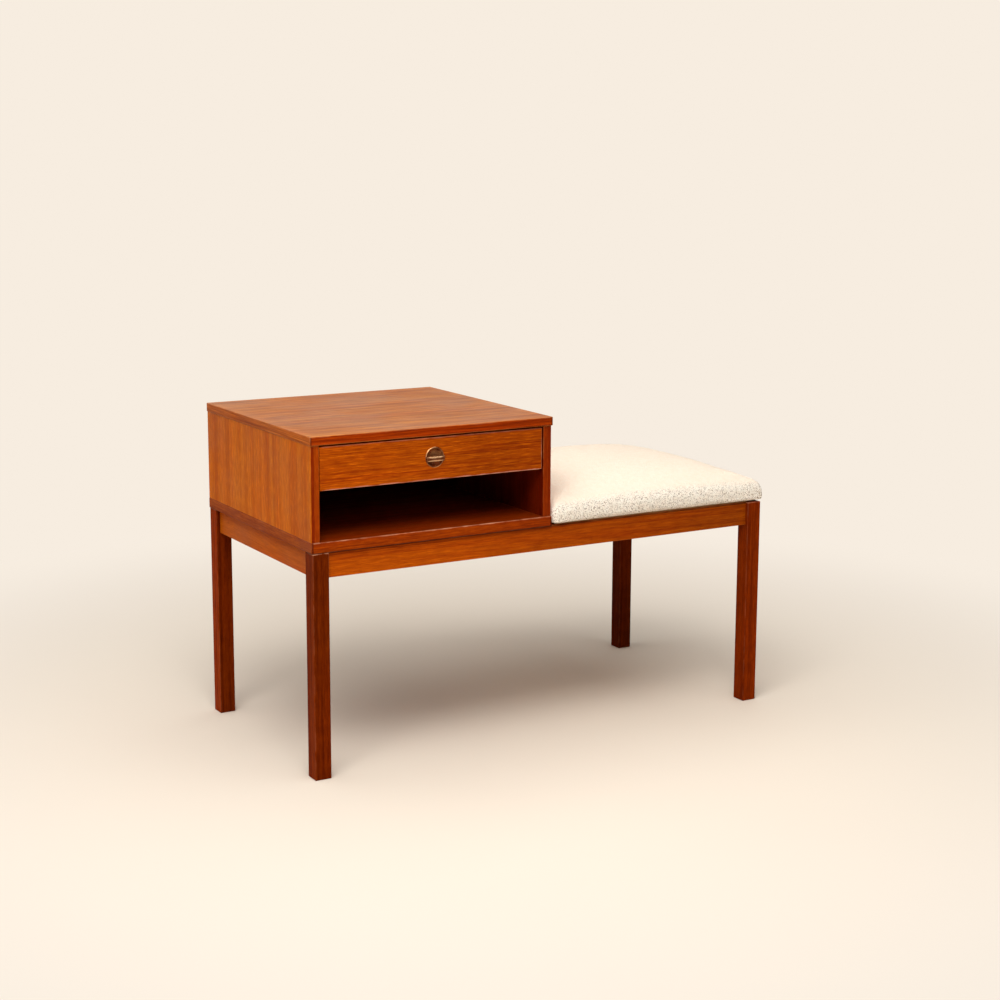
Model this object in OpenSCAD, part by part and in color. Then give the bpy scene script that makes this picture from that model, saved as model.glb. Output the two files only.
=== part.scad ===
// Telephone bench: a teak frame on four square legs, with a cabinet on its left half
// and a padded seat on its right half. The cabinet holds one drawer over an open niche.
// The origin is on the floor under the middle of the bench. X runs along the bench,
// the drawer opens towards -Y, and Z is up. All sizes are in millimetres.

/* [Bench] */
// Length over the legs
bench_l = 950; // [800:1:1200]
// Depth over the legs
bench_d = 465; // [400:1:540]
// Height of the frame that carries the cabinet and the seat
frame_h = 398; // [300:1:460]

/* [Legs] */
// Width of a square leg
leg_w = 30.5; // [29:0.5:40]
// Rounding of a leg's edges
leg_ease = 2; // [0.5:0.25:4]

/* [Aprons] */
// Height of the aprons
apron_h = 45; // [36:1:70]
// Thickness of the aprons
apron_t = 18; // [16:0.5:19]
// How far the aprons stand back from the faces of the legs
apron_in = 7.5; // [3:0.5:9]
// Rounding of an apron's edges
apron_ease = 1.25; // [0.5:0.25:3]
// Thickness of the tenons
tenon_t = 8; // [6:0.5:9]
// Shoulder above and below each tenon
tenon_shoulder = 8; // [4:0.5:12]

/* [Cross rail and corner blocks] */
// Width of the cross rail under the joint between cabinet and seat
rail_w = 64; // [50:1:90]
// Thickness of the cross rail
rail_t = 20; // [16:0.5:28]
// Length of the cross rail's stub tenons
rail_tenon_l = 9; // [5:0.5:12]
// Shoulder round each stub tenon
rail_shoulder = 5; // [3:0.5:7]
// Length of a corner block along each apron
block_l = 58; // [45:1:75]
// Thickness of the corner blocks
block_t = 20; // [16:0.5:28]

/* [Cabinet] */
// Length of the base board
base_l = 474.5; // [380:0.5:560]
// How far the base board stands out past the left legs
base_over = 1.5; // [0:0.25:6]
// Thickness of the base board
base_t = 19; // [16:0.5:25]
// Height of the side panels
side_h = 165; // [140:0.5:240]
// Thickness of the side panels
side_t = 16.75; // [15:0.25:22]
// How far the side panels stand in from the ends of the base board
side_in = 0.75; // [0.5:0.25:6]
// How far the side panels stand back from the front of the base board
side_back = 3; // [0.5:0.25:6]
// Thickness of the top board
top_t = 16; // [14:0.5:25]
// How far the top board stands out past the side panels at the ends
top_over = 1.5; // [1:0.25:8]
// Rounding of the edges of the boards
board_ease = 1.75; // [0.5:0.25:3]
// Thickness of the back panel
back_t = 5; // [3:0.5:8]
// Distance of the back panel from the back edge of the side panels
back_in = 6; // [4:0.5:12]
// Depth of the groove that holds the back panel
back_groove = 5; // [3:0.5:7]

/* [Drawer] */
// Height of the drawer front
drawer_h = 75; // [64:0.5:110]
// Thickness of the drawer front
drawer_front_t = 18; // [16:0.5:24]
// Rounding of the edges of the drawer front
drawer_ease = 1.5; // [0.5:0.25:3]
// Room between the drawer box and the back panel
drawer_room = 20; // [8:1:80]
// Thickness of the drawer sides
drawer_side_t = 12; // [11:0.5:16]
// Height of the drawer sides
drawer_side_h = 66; // [56:0.5:76]
// Thickness of the drawer back
drawer_back_t = 12; // [8:0.5:16]
// Depth of the housing that holds the drawer back
drawer_housing = 3; // [2:0.5:4]
// Thickness of the drawer bottom
bottom_t = 4; // [3:0.5:6]
// Height of the drawer bottom above the lower edge of the drawer sides
bottom_up = 6; // [5:0.5:9]
// Depth of the groove that holds the drawer bottom
bottom_groove = 5; // [3:0.5:7]
// Gap at the left end of the drawer
drawer_gap_left = 0.8; // [0.5:0.1:2.5]
// Gap at the right end of the drawer
drawer_gap_right = 2.8; // [0.5:0.1:3]
// Gap over the drawer front
drawer_top_gap = 2.8; // [0.8:0.1:4]

/* [Runners] */
// Height of a runner
runner_h = 12; // [10:0.5:14]
// Depth of the groove in the drawer side that a runner fits
runner_groove = 6.5; // [5:0.5:8]
// Solid wood left between the drawer front and the groove
runner_stop = 12; // [8:0.5:30]

/* [Dovetails] */
// Length of a dovetail
tail_l = 12; // [9:0.5:13]
// Width of a dovetail at its end
tail_w = 13; // [11:0.5:15]
// Slant of a dovetail's flanks in degrees
tail_slant = 9; // [5:0.5:12]

/* [Pull] */
// Diameter of the rim of the pull
pull_d = 36.5; // [32:0.5:44]
// Width of the rim
pull_rim = 2; // [1.5:0.25:3]
// How far the rim stands out
pull_rim_t = 0.8; // [0.5:0.1:1.5]
// Depth of the cup
cup_depth = 10; // [8:0.5:11]
// Thickness of the cup's wall
cup_wall = 0.8; // [0.6:0.1:1.2]
// Height of the bar
bar_h = 9; // [7:0.5:11]
// Thickness of the bar
bar_t = 3.2; // [2.5:0.1:4.5]
// How far the middle of the bar lies under the middle of the cup
bar_drop = 3; // [0:0.5:4]
// Diameter of the two pegs that hold the bar
bar_peg_d = 2.4; // [1.6:0.2:3]
// How far the middle of the cup lies above the middle of the drawer front
pull_up = 2.5; // [0:0.5:6]

/* [Seat] */
// Thickness of the board under the seat
seat_board_t = 8; // [6:0.5:12]
// How far the seat board stands in from the edge of the seat
seat_board_in = 14; // [8:0.5:30]
// Height of the sides of the seat
seat_side_h = 43; // [38:1:70]
// Height of the crown over the sides
seat_crown = 30; // [10:1:45]
// Rounding of the upper edges of the seat
seat_round = 24; // [12:1:30]
// Rounding of the lower edges of the seat
seat_under = 5; // [4:0.5:10]
// Rounding of the corners of the seat in plan
seat_corner = 11; // [8:1:30]
// How far the sides of the seat draw in between the corners
seat_draw = 2.5; // [0:0.5:6]
// How far the seat stands out past the right legs
seat_over = 8; // [0:0.5:12]
// How far the seat stands out past the front and back of the legs
seat_over_front = 3; // [0:0.5:6]
// Thickness of the seat's cover
cover_t = 1.6; // [1:0.1:3]

/* [Fastenings] */
// Diameter of the frame screws
screw_d = 4; // [3.5:0.5:5]
// Width of the slots in the heads of the screws
slot_w = 1; // [0.6:0.1:1.4]
// Depth of the slots in the heads of the screws
slot_depth = 0.8; // [0.5:0.1:1.2]
// Length of the frame screws
screw_l = 25; // [22:1:27]
// Diameter of the runner screws and the drawer bottom's screws
small_screw_d = 3; // [2.5:0.5:3.5]
// Length of the runner screws and the drawer bottom's screws
small_screw_l = 16; // [12:1:18]
// Diameter of the cabinet's dowels
dowel_d = 8; // [6:0.5:9]
// Length of the cabinet's dowels
dowel_l = 30; // [24:1:34]
// How deep a dowel goes into the top board and the base board
dowel_in = 11; // [8:0.5:12]

/* [Hidden] */
$fn = 48;
fine_fn = 96;

// Clearance in glued joints, and round screws and dowels
fit = 0.15;
// Running clearance round moving and soft pieces
run = 0.3;
// How far a cut runs past the surface that it opens
over = 1;

// Colours of the woods, the brass and the cloth
teak = "#a4511f";
teak_top = "#b96b40";
teak_dark = "#6e2c12";
birch = "#d9b98a";
brass = "#9a7440";
steel = "#9a9a96";
wool = "#efe9dc";

// Places of the legs and aprons
leg_x = bench_l / 2 - leg_w;
leg_y = bench_d / 2 - leg_w;
apron_inner = apron_in + apron_t;
rail_y = bench_d / 2 - apron_inner;

// Tenons end in a mitre where the two tenons of a leg meet
tenon_near = apron_in + (apron_t - tenon_t) / 2;
tenon_far = tenon_near + tenon_t;
tenon_h = apron_h - 2 * tenon_shoulder;
tenon_z = frame_h - apron_h + tenon_shoulder;
mitre_gap = 0.7;

// Places of the cabinet's boards
base_x0 = -bench_l / 2 - base_over;
base_x1 = base_x0 + base_l;
base_y0 = -bench_d / 2;
base_top = frame_h + base_t;
side_x0 = base_x0 + side_in;
side_x1 = base_x1 - side_in;
side_y0 = base_y0 + side_back;
side_y1 = bench_d / 2 - side_in;
side_d = side_y1 - side_y0;
side_top = base_top + side_h;
top_x0 = side_x0 - top_over;
top_x1 = side_x1 + top_over;
back_y1 = side_y1 - back_in;
back_y0 = back_y1 - back_t;
inner_x0 = side_x0 + side_t;
inner_x1 = side_x1 - side_t;

// The cross rail lies under the joint between the cabinet and the seat
joint_x = base_x1 + run;
rail_x0 = joint_x - rail_w / 2;

// Places of the drawer
drawer_x0 = inner_x0 + drawer_gap_left;
drawer_x1 = inner_x1 - drawer_gap_right;
drawer_x = (drawer_x0 + drawer_x1) / 2;
drawer_z1 = side_top - drawer_top_gap;
drawer_z0 = drawer_z1 - drawer_h;
drawer_y0 = side_y0;
drawer_y1 = drawer_y0 + drawer_front_t;
drawer_side_l = back_y0 - drawer_room - drawer_y1;
box_z0 = drawer_z0 + (drawer_h - drawer_side_h) / 2;
box_y1 = drawer_y1 + drawer_side_l;
bottom_z = box_z0 + bottom_up;
bottom_y0 = drawer_y1 - bottom_groove;
back_z0 = bottom_z + bottom_t;
drawer_back_y0 = box_y1 - drawer_back_t - drawer_side_t;
box_in_x0 = drawer_x0 + drawer_side_t;
box_in_x1 = drawer_x1 - drawer_side_t;

// Places of the runners
runner_t_left = drawer_gap_left + runner_groove - run;
runner_t_right = drawer_gap_right + runner_groove - run;
runner_z = box_z0 + drawer_side_h / 2 - runner_h / 2;
runner_y0 = drawer_y1 + runner_stop + run;
runner_y1 = box_y1;
runner_l = runner_y1 - runner_y0;
runner_screw_shares = [0.08, 0.5, 0.92];

// Places of the dovetails, as shares of the height of the drawer side
tail_shares = [0.18, 0.82];
tail_flank = tail_l * tan(tail_slant);

// The pull
pull_z = (drawer_z0 + drawer_z1) / 2 + pull_up;
pull_r = pull_d / 2;
cup_r = pull_r - pull_rim;
cup_sphere_r = (cup_r * cup_r + cup_depth * cup_depth) / (2 * cup_depth);
bar_z = pull_z - bar_drop;
bar_y = drawer_y0 - pull_rim_t;
bar_ridge_r = bar_h / 4;
bar_peg_share = 0.62;
bar_peg_x = cup_r * bar_peg_share;

// Places of the dowels, as shares of the depth of the side panels
dowel_shares = [0.1, 0.5, 0.88];

// Heads of the screws
head_d = 2 * screw_d;
small_head_d = 2 * small_screw_d;
tip_share = 0.8;
head_sink = 0.5;

// Places of the screws in the frame
block_screw_share = 0.36;
block_screw = block_l * block_screw_share;
rail_screw_y = bench_d / 4;
bottom_screw_shares = [-0.36, 0, 0.36];
bottom_screw_y = drawer_back_y0 + drawer_back_t / 2;

// The seat
seat_x0 = joint_x + run;
seat_x1 = bench_l / 2 + seat_over;
seat_hx = (seat_x1 - seat_x0) / 2;
seat_hy = bench_d / 2 + seat_over_front;
seat_x = (seat_x0 + seat_x1) / 2;
seat_z = frame_h + run;
crown_power = 3;
seat_board_x0 = seat_x0 + seat_board_in;
seat_board_x1 = seat_x1 - seat_board_in;
seat_board_hy = seat_hy - seat_board_in;
seat_board_ease = 3;

// Counts of the seat's facets
corner_steps = 4;
side_steps = 7;
round_steps = 5;
under_steps = 2;
top_ring_shares = [0.86, 0.68, 0.48, 0.26, 0.08];

// Rounded rectangle with its low corner at the origin
module rounded_rect(w, d, r) {
    translate([r, 0]) square([w - 2 * r, d]);
    translate([0, r]) square([w, d - 2 * r]);
    for (x = [r, w - r], y = [r, d - r])
        translate([x, y]) circle(r);
}

// Board or post with all its edges rounded, its low corner at the origin
module eased_block(size, r) {
    intersection() {
        linear_extrude(size.z) rounded_rect(size.x, size.y, r);
        translate([0, size.y, 0]) rotate([90, 0, 0])
            linear_extrude(size.y) rounded_rect(size.x, size.z, r);
        rotate([90, 0, 90]) linear_extrude(size.x) rounded_rect(size.y, size.z, r);
    }
}

// Plan of a mitred tenon that starts at the leg's inner face and runs towards -X,
// measured from the leg's outer corner; grow widens it to cut the mortise
module tenon_plan(grow) {
    polygon([
        [leg_w + over, tenon_near - grow],
        [tenon_near + mitre_gap - grow, tenon_near - grow],
        [tenon_far + mitre_gap - grow, tenon_far + grow],
        [leg_w + over, tenon_far + grow]]);
}

// Mitred tenon, with the leg's outer corner on the Z axis
module tenon(grow) {
    translate([0, 0, tenon_z - grow])
        linear_extrude(tenon_h + 2 * grow) tenon_plan(grow);
}

// Tenon of the other apron of the same leg
module tenon_across(grow) {
    mirror([1, -1, 0]) tenon(grow);
}

// Leg with its outer corner on the Z axis
module leg() {
    difference() {
        eased_block([leg_w, leg_w, frame_h], leg_ease);
        tenon(fit);
        tenon_across(fit);
    }
}

// Puts a child made for the front left corner at corner (sx, sy)
module at_corner(sx, sy) {
    mirror([sx > 0 ? 1 : 0, 0, 0]) mirror([0, sy > 0 ? 1 : 0, 0])
        translate([-bench_l / 2, -bench_d / 2, 0]) children();
}

module leg_front_left() {
    color(teak_dark) at_corner(-1, -1) leg();
}

module leg_front_right() {
    color(teak_dark) at_corner(1, -1) leg();
}

module leg_back_left() {
    color(teak_dark) at_corner(-1, 1) leg();
}

module leg_back_right() {
    color(teak_dark) at_corner(1, 1) leg();
}

// Body of an apron along X, from one leg to the other
module apron_bar(l) {
    translate([-l / 2, apron_t / 2, frame_h - apron_h / 2]) rotate([90, 0, 90])
        linear_extrude(l) translate([-apron_t / 2, -apron_h / 2])
            rounded_rect(apron_t, apron_h, apron_ease);
}

// Half mortise for the cross rail, open to the inner face of a long apron
module rail_mortise() {
    translate([rail_x0 + rail_shoulder - fit, rail_y - fit - over / 2, frame_h - rail_t + rail_shoulder - fit])
        cube([rail_w - 2 * rail_shoulder + 2 * fit, rail_tenon_l + 2 * fit + over / 2,
            rail_t - 2 * rail_shoulder + 2 * fit]);
}

// Long apron at the back; the front one is its mirror image
module long_apron() {
    difference() {
        union() {
            translate([0, rail_y, 0]) apron_bar(2 * leg_x);
            for (sx = [-1, 1]) {
                intersection() {
                    at_corner(sx, 1) tenon(0);
                    translate([sx * (leg_x + leg_w / 2), bench_d / 2 - leg_w / 2, frame_h / 2])
                        cube([leg_w + 2 * over, leg_w, frame_h], center = true);
                }
            }
        }
        rail_mortise();
    }
}

module apron_front() {
    color(teak) mirror([0, 1, 0]) long_apron();
}

module apron_back() {
    color(teak) long_apron();
}

// End apron at the left; the right one is its mirror image
module end_apron() {
    translate([-bench_l / 2 + apron_inner, 0, 0]) rotate([0, 0, 90]) apron_bar(2 * leg_y);
    for (sy = [-1, 1]) {
        intersection() {
            at_corner(-1, sy) tenon_across(0);
            translate([-bench_l / 2 + leg_w / 2, sy * (leg_y + leg_w / 2), frame_h / 2])
                cube([leg_w, leg_w + 2 * over, frame_h], center = true);
        }
    }
}

module apron_left() {
    color(teak) end_apron();
}

module apron_right() {
    color(teak) mirror([1, 0, 0]) end_apron();
}

// Countersunk wood screw with its head's slotted face at the origin, pointing up
module wood_screw(d, hd, l) {
    difference() {
        rotate_extrude() polygon([
            [0, 0], [hd / 2, 0], [d / 2, (hd - d) / 2], [d / 2, l * tip_share], [0, l]]);
        translate([-hd, -slot_w / 2, -over]) cube([2 * hd, slot_w, over + slot_depth]);
    }
}

// Hole that clears such a screw, open below its head
module screw_hole(d, hd, l) {
    translate([0, 0, -over]) cylinder(d = hd + 2 * fit, h = over + head_sink);
    translate([0, 0, head_sink])
        cylinder(r1 = hd / 2 + fit, r2 = d / 2 + fit, h = (hd - d) / 2);
    cylinder(d = d + 2 * fit, h = l + fit);
}

// Screw places in the frame: one through each corner block, four through the cross rail
function frame_screw_places() = [
    for (sx = [-1, 1], sy = [-1, 1])
        [sx * (bench_l / 2 - apron_inner - block_screw),
            sy * (bench_d / 2 - apron_inner - block_screw), frame_h - block_t],
    for (sx = [-1, 1], sy = [-1, 1])
        [joint_x + seat_board_in / 2 + sx * rail_w / 4, sy * rail_screw_y, frame_h - rail_t]];

// Holes for all the frame screws, raised by their sink
module frame_screw_holes() {
    for (p = frame_screw_places())
        translate(p) screw_hole(screw_d, head_d, screw_l + head_sink);
}

module frame_screws() {
    color(steel) for (p = frame_screw_places())
        translate([p.x, p.y, p.z + head_sink]) wood_screw(screw_d, head_d, screw_l);
}

module cross_rail() {
    color(birch) difference() {
        union() {
            translate([rail_x0, -rail_y, frame_h - rail_t]) cube([rail_w, 2 * rail_y, rail_t]);
            translate([rail_x0 + rail_shoulder, -rail_y - rail_tenon_l, frame_h - rail_t + rail_shoulder])
                cube([rail_w - 2 * rail_shoulder, 2 * (rail_y + rail_tenon_l), rail_t - 2 * rail_shoulder]);
        }
        frame_screw_holes();
    }
}

// Three-cornered glue block behind the front left leg, notched round the leg
module corner_block() {
    notch = leg_w - apron_inner + fit;
    translate([apron_inner, apron_inner, frame_h - block_t]) linear_extrude(block_t)
        polygon([[notch, 0], [block_l, 0], [block_l, notch], [notch, block_l],
            [0, block_l], [0, notch], [notch, notch]]);
}

module drilled_corner_block(sx, sy) {
    color(birch) difference() {
        at_corner(sx, sy) corner_block();
        frame_screw_holes();
    }
}

module corner_block_front_left() {
    drilled_corner_block(-1, -1);
}

module corner_block_front_right() {
    drilled_corner_block(1, -1);
}

module corner_block_back_left() {
    drilled_corner_block(-1, 1);
}

module corner_block_back_right() {
    drilled_corner_block(1, 1);
}

// Dowel places: x and y of each, on the middle line of the side panels
function dowel_places() = [
    for (x = [side_x0 + side_t / 2, side_x1 - side_t / 2], s = dowel_shares)
        [x, side_y0 + side_d * s]];

// Dowels in the joint at height z; up is 1 where the thin board is above the joint
module dowel_row(z, up, grow) {
    for (p = dowel_places())
        translate([p.x, p.y, up > 0 ? z - (dowel_l - dowel_in) - grow : z - dowel_in - grow])
            cylinder(d = dowel_d + 2 * grow, h = dowel_l + 2 * grow);
}

module cabinet_dowels() {
    color(birch) {
        dowel_row(base_top, -1, 0);
        dowel_row(side_top, 1, 0);
    }
}

// Groove for the back panel, as deep as the groove at the sides, base and top
module back_panel_slot() {
    translate([inner_x0 - back_groove - fit, back_y0 - fit, base_top - back_groove - fit])
        cube([inner_x1 - inner_x0 + 2 * (back_groove + fit), back_t + 2 * fit,
            side_h + 2 * (back_groove + fit)]);
}

module base_board() {
    color(teak_dark) difference() {
        translate([base_x0, base_y0, frame_h])
            eased_block([base_l, bench_d, base_t], board_ease);
        dowel_row(base_top, -1, fit);
        back_panel_slot();
        frame_screw_holes();
    }
}

// Plan of a side panel, with its two front edges rounded
module side_plan() {
    translate([0, board_ease]) square([side_t, side_d - board_ease]);
    translate([board_ease, 0]) square([side_t - 2 * board_ease, side_d]);
    for (x = [board_ease, side_t - board_ease])
        translate([x, board_ease]) circle(board_ease);
}

// Side panel with its outer face at x and the places of its runner's screws
module side_panel(x, side) {
    difference() {
        translate([x, side_y0, base_top]) linear_extrude(side_h) side_plan();
        dowel_row(base_top, -1, fit);
        dowel_row(side_top, 1, fit);
        back_panel_slot();
        runner_screw_holes(side);
    }
}

module side_panel_left() {
    color(teak) side_panel(side_x0, -1);
}

module side_panel_right() {
    color(teak) side_panel(inner_x1, 1);
}

module top_board() {
    color(teak_top) difference() {
        translate([top_x0, base_y0, side_top])
            eased_block([top_x1 - top_x0, bench_d, top_t], board_ease);
        dowel_row(side_top, 1, fit);
        back_panel_slot();
    }
}

module back_panel() {
    color(teak_dark)
        translate([inner_x0 - back_groove, back_y0, base_top - back_groove])
            cube([inner_x1 - inner_x0 + 2 * back_groove, back_t, side_h + 2 * back_groove]);
}

// Puts a child made at the left inner face, with Z towards the panel, at each runner screw
module at_runner_screws(side) {
    x = side < 0 ? inner_x0 + runner_t_left - head_sink : inner_x1 - runner_t_right + head_sink;
    for (s = runner_screw_shares)
        translate([x, runner_y0 + runner_l * s, runner_z + runner_h / 2])
            rotate([0, side < 0 ? -90 : 90, 0]) children();
}

module runner_screw_holes(side) {
    at_runner_screws(side) translate([0, 0, -head_sink])
        screw_hole(small_screw_d, small_head_d, small_screw_l + head_sink);
}

// Runner of thickness t, a strip of hardwood with its low x at x
module runner(x, t, side) {
    difference() {
        translate([x, runner_y0, runner_z]) cube([t, runner_l, runner_h]);
        runner_screw_holes(side);
    }
}

module runner_left() {
    color(birch) runner(inner_x0, runner_t_left, -1);
}

module runner_right() {
    color(birch) runner(inner_x1 - runner_t_right, runner_t_right, 1);
}

module runner_screws() {
    color(steel) for (side = [-1, 1])
        at_runner_screws(side) wood_screw(small_screw_d, small_head_d, small_screw_l);
}

// Dovetail seen from the side of the drawer, pointing towards -Y
module tail_plan(grow) {
    polygon([
        [-over, -tail_w / 2 + tail_flank - grow], [0, -tail_w / 2 + tail_flank - grow],
        [tail_l + grow, -tail_w / 2 - grow], [tail_l + grow, tail_w / 2 + grow],
        [0, tail_w / 2 - tail_flank + grow], [-over, tail_w / 2 - tail_flank + grow]]);
}

// The two dovetails of a drawer side, across its thickness
module tails(x, t, grow) {
    for (s = tail_shares)
        translate([x, drawer_y1, box_z0 + drawer_side_h * s]) rotate([90, 0, 90])
            linear_extrude(t) mirror([1, 0]) tail_plan(grow);
}

// Slot for the drawer bottom in the front and the sides
module bottom_slot() {
    translate([box_in_x0 - bottom_groove - fit, bottom_y0 - fit, bottom_z - fit])
        cube([box_in_x1 - box_in_x0 + 2 * (bottom_groove + fit),
            box_y1 - bottom_y0 + over + fit, bottom_t + 2 * fit]);
}

module drawer_front() {
    color(teak) difference() {
        translate([drawer_x0, drawer_y0, drawer_z0])
            eased_block([drawer_x1 - drawer_x0, drawer_front_t, drawer_h], drawer_ease);
        tails(drawer_x0 - over, drawer_side_t + over + fit, fit);
        tails(box_in_x1 - fit, drawer_side_t + over + fit, fit);
        bottom_slot();
        pull_bore();
    }
}

// Bore in the drawer front that takes the cup
module pull_bore() {
    translate([drawer_x, drawer_y0 - over, pull_z]) rotate([-90, 0, 0])
        cylinder(r = cup_r + cup_wall + run, h = cup_depth + cup_wall + run + over);
}

// Drawer side with its low x at x; the groove for the runner is on the outer face
module drawer_side(x, side) {
    groove_x = side < 0 ? x - over : x + drawer_side_t - runner_groove;
    housing_x = side < 0 ? x + drawer_side_t - drawer_housing : x - over;
    difference() {
        union() {
            translate([x, drawer_y1, box_z0]) cube([drawer_side_t, drawer_side_l, drawer_side_h]);
            tails(x, drawer_side_t, 0);
        }
        translate([groove_x, drawer_y1 + runner_stop, runner_z - run])
            cube([runner_groove + over, drawer_side_l, runner_h + 2 * run]);
        bottom_slot();
        translate([housing_x, drawer_back_y0 - fit, back_z0 - bottom_t])
            cube([drawer_housing + over, drawer_back_t + 2 * fit, drawer_side_h]);
    }
}

module drawer_side_left() {
    color(birch) drawer_side(drawer_x0, -1);
}

module drawer_side_right() {
    color(birch) drawer_side(box_in_x1, 1);
}

module drawer_back() {
    color(birch) difference() {
        translate([box_in_x0 - drawer_housing + fit, drawer_back_y0, back_z0 + fit])
            cube([box_in_x1 - box_in_x0 + 2 * (drawer_housing - fit), drawer_back_t,
                box_z0 + drawer_side_h - back_z0 - fit]);
        bottom_screw_holes();
    }
}

// Places of the screws that hold the bottom up to the drawer back
module at_bottom_screws() {
    for (s = bottom_screw_shares)
        translate([drawer_x + (box_in_x1 - box_in_x0) * s, bottom_screw_y, bottom_z])
            children();
}

module bottom_screw_holes() {
    at_bottom_screws() screw_hole(small_screw_d, small_head_d, small_screw_l + head_sink);
}

module bottom_screws() {
    color(steel) at_bottom_screws() translate([0, 0, head_sink])
        wood_screw(small_screw_d, small_head_d, small_screw_l);
}

module drawer_bottom() {
    color(birch) difference() {
        translate([box_in_x0 - bottom_groove, bottom_y0, bottom_z])
            cube([box_in_x1 - box_in_x0 + 2 * bottom_groove,
                drawer_back_y0 + drawer_back_t - bottom_y0, bottom_t]);
        bottom_screw_holes();
    }
}

// Places a child made round the Z axis, its Z towards the front, at the pull
module at_pull(z) {
    translate([drawer_x, drawer_y0, z]) rotate([90, 0, 0]) children();
}

module pull_cup() {
    color(brass) at_pull(pull_z) difference() {
        union() {
            intersection() {
                translate([0, 0, cup_sphere_r - cup_depth]) sphere(r = cup_sphere_r + cup_wall, $fn = fine_fn);
                translate([0, 0, -cup_depth - cup_wall - over])
                    cylinder(r = cup_r + cup_wall, h = cup_depth + cup_wall + over);
            }
            cylinder(r = pull_r - pull_rim_t, h = pull_rim_t);
            rotate_extrude() intersection() {
                translate([pull_r - pull_rim_t, 0]) circle(pull_rim_t);
                square([pull_r, pull_rim_t]);
            }
        }
        translate([0, 0, cup_sphere_r - cup_depth]) sphere(r = cup_sphere_r, $fn = fine_fn);
        cylinder(r = cup_r, h = pull_rim_t + over);
        for (sx = [-1, 1])
            translate([sx * bar_peg_x, -bar_drop, -cup_depth - cup_wall - over])
                cylinder(d = bar_peg_d + 2 * fit, h = cup_depth + cup_wall + over);
    }
}

// Section of the bar: two rounded ridges with a hollow between them
module bar_section() {
    difference() {
        union() {
            translate([-bar_h / 2, 0]) square([bar_h, bar_t - bar_ridge_r]);
            for (s = [-1, 1])
                translate([s * (bar_h / 2 - bar_ridge_r), bar_t - bar_ridge_r]) circle(bar_ridge_r);
            translate([-bar_ridge_r, 0]) square([2 * bar_ridge_r, bar_t - bar_ridge_r / 2]);
        }
        translate([-bar_h / 2, -bar_t]) square([bar_h, bar_t]);
    }
}

module pull_bar() {
    color(brass) at_pull(bar_z) {
        intersection() {
            translate([-pull_r - over, 0, pull_rim_t]) rotate([90, 0, 90])
                linear_extrude(2 * (pull_r + over)) bar_section();
            translate([0, bar_drop, 0]) cylinder(r = pull_r, h = bar_t + pull_rim_t + over, $fn = fine_fn);
        }
        for (sx = [-1, 1])
            translate([sx * bar_peg_x, 0, -cup_depth])
                cylinder(d = bar_peg_d, h = cup_depth + pull_rim_t + bar_t / 2);
    }
}

module seat_board() {
    color(birch) difference() {
        translate([seat_board_x0, -seat_board_hy, frame_h]) linear_extrude(seat_board_t)
            rounded_rect(seat_board_x1 - seat_board_x0, 2 * seat_board_hy, seat_board_ease);
        frame_screw_holes();
    }
}

// Outline of the seat drawn in by inset, as points from the front right corner round
function seat_outline(inset) =
    let (hx = seat_hx - inset, hy = seat_hy - inset,
        r = max(seat_corner - inset, seat_corner / 4),
        corners = [for (q = [0:3]) [q == 0 || q == 3 ? hx - r : r - hx, q < 2 ? hy - r : r - hy]],
        arcs = [for (q = [0:3]) [for (i = [0:corner_steps])
            corners[q] + r * [cos(90 * (q + i / corner_steps)), sin(90 * (q + i / corner_steps))]]])
    [for (q = [0:3]) each concat(arcs[q],
        [for (i = [1:side_steps - 1])
            arcs[q][corner_steps] + (arcs[(q + 1) % 4][0] - arcs[q][corner_steps]) * i / side_steps])];

// Sides drawn in between the corners, by the full amount at their middles
function drawn_in(p) =
    let (u = p.x / seat_hx, v = p.y / seat_hy)
    [p.x - seat_draw * u * (1 - v * v), p.y - seat_draw * v * (1 - u * u)];

// Height of the crown over a point of the plan
function crown_at(p) =
    let (u = min(abs(p.x) / seat_hx, 1), v = min(abs(p.y) / seat_hy, 1))
    seat_crown * (1 - pow(u, crown_power)) * (1 - pow(v, crown_power));

// Rings of the seat from below to the top; thin is the skin that is taken off all over
function seat_rings(thin) = concat(
    [for (i = [0:under_steps])
        let (a = 90 * i / under_steps, r = seat_under)
        [for (p = seat_outline(thin + (r - thin) * (1 - sin(a)))) let (d = drawn_in(p))
            [d.x, d.y, thin + (r - thin) * (1 - cos(a))]]],
    [for (i = [0:round_steps])
        let (a = 90 * i / round_steps, r = seat_round)
        [for (p = seat_outline(thin + (r - thin) * (1 - cos(a)))) let (d = drawn_in(p))
            [d.x, d.y, seat_side_h - r + (r - thin) * sin(a) + crown_at(d)]]],
    [for (s = top_ring_shares)
        [for (p = seat_outline(seat_round)) let (d = s * drawn_in(p))
            [d.x, d.y, seat_side_h - thin + crown_at(d)]]]);

// Closed solid of the seat with a skin of thickness thin taken off
module seat_form(thin) {
    rings = seat_rings(thin);
    n = len(rings[0]);
    last = len(rings) - 1;
    faces = concat(
        [for (k = [0:last - 1], i = [0:n - 1]) each [
            [k * n + i, (k + 1) * n + i, k * n + (i + 1) % n],
            [k * n + (i + 1) % n, (k + 1) * n + i, (k + 1) * n + (i + 1) % n]]],
        [[for (i = [0:n - 1]) i]],
        [[for (i = [0:n - 1]) last * n + n - 1 - i]]);
    translate([seat_x, 0, seat_z])
        polyhedron(points = [for (ring = rings) each ring], faces = faces);
}

// Room for the seat board, with a clearance all round it
module seat_board_room(grow) {
    translate([seat_board_x0 - grow, -seat_board_hy - grow, frame_h - over])
        cube([seat_board_x1 - seat_board_x0 + 2 * grow, 2 * (seat_board_hy + grow),
            over + seat_board_t + run]);
}

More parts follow.
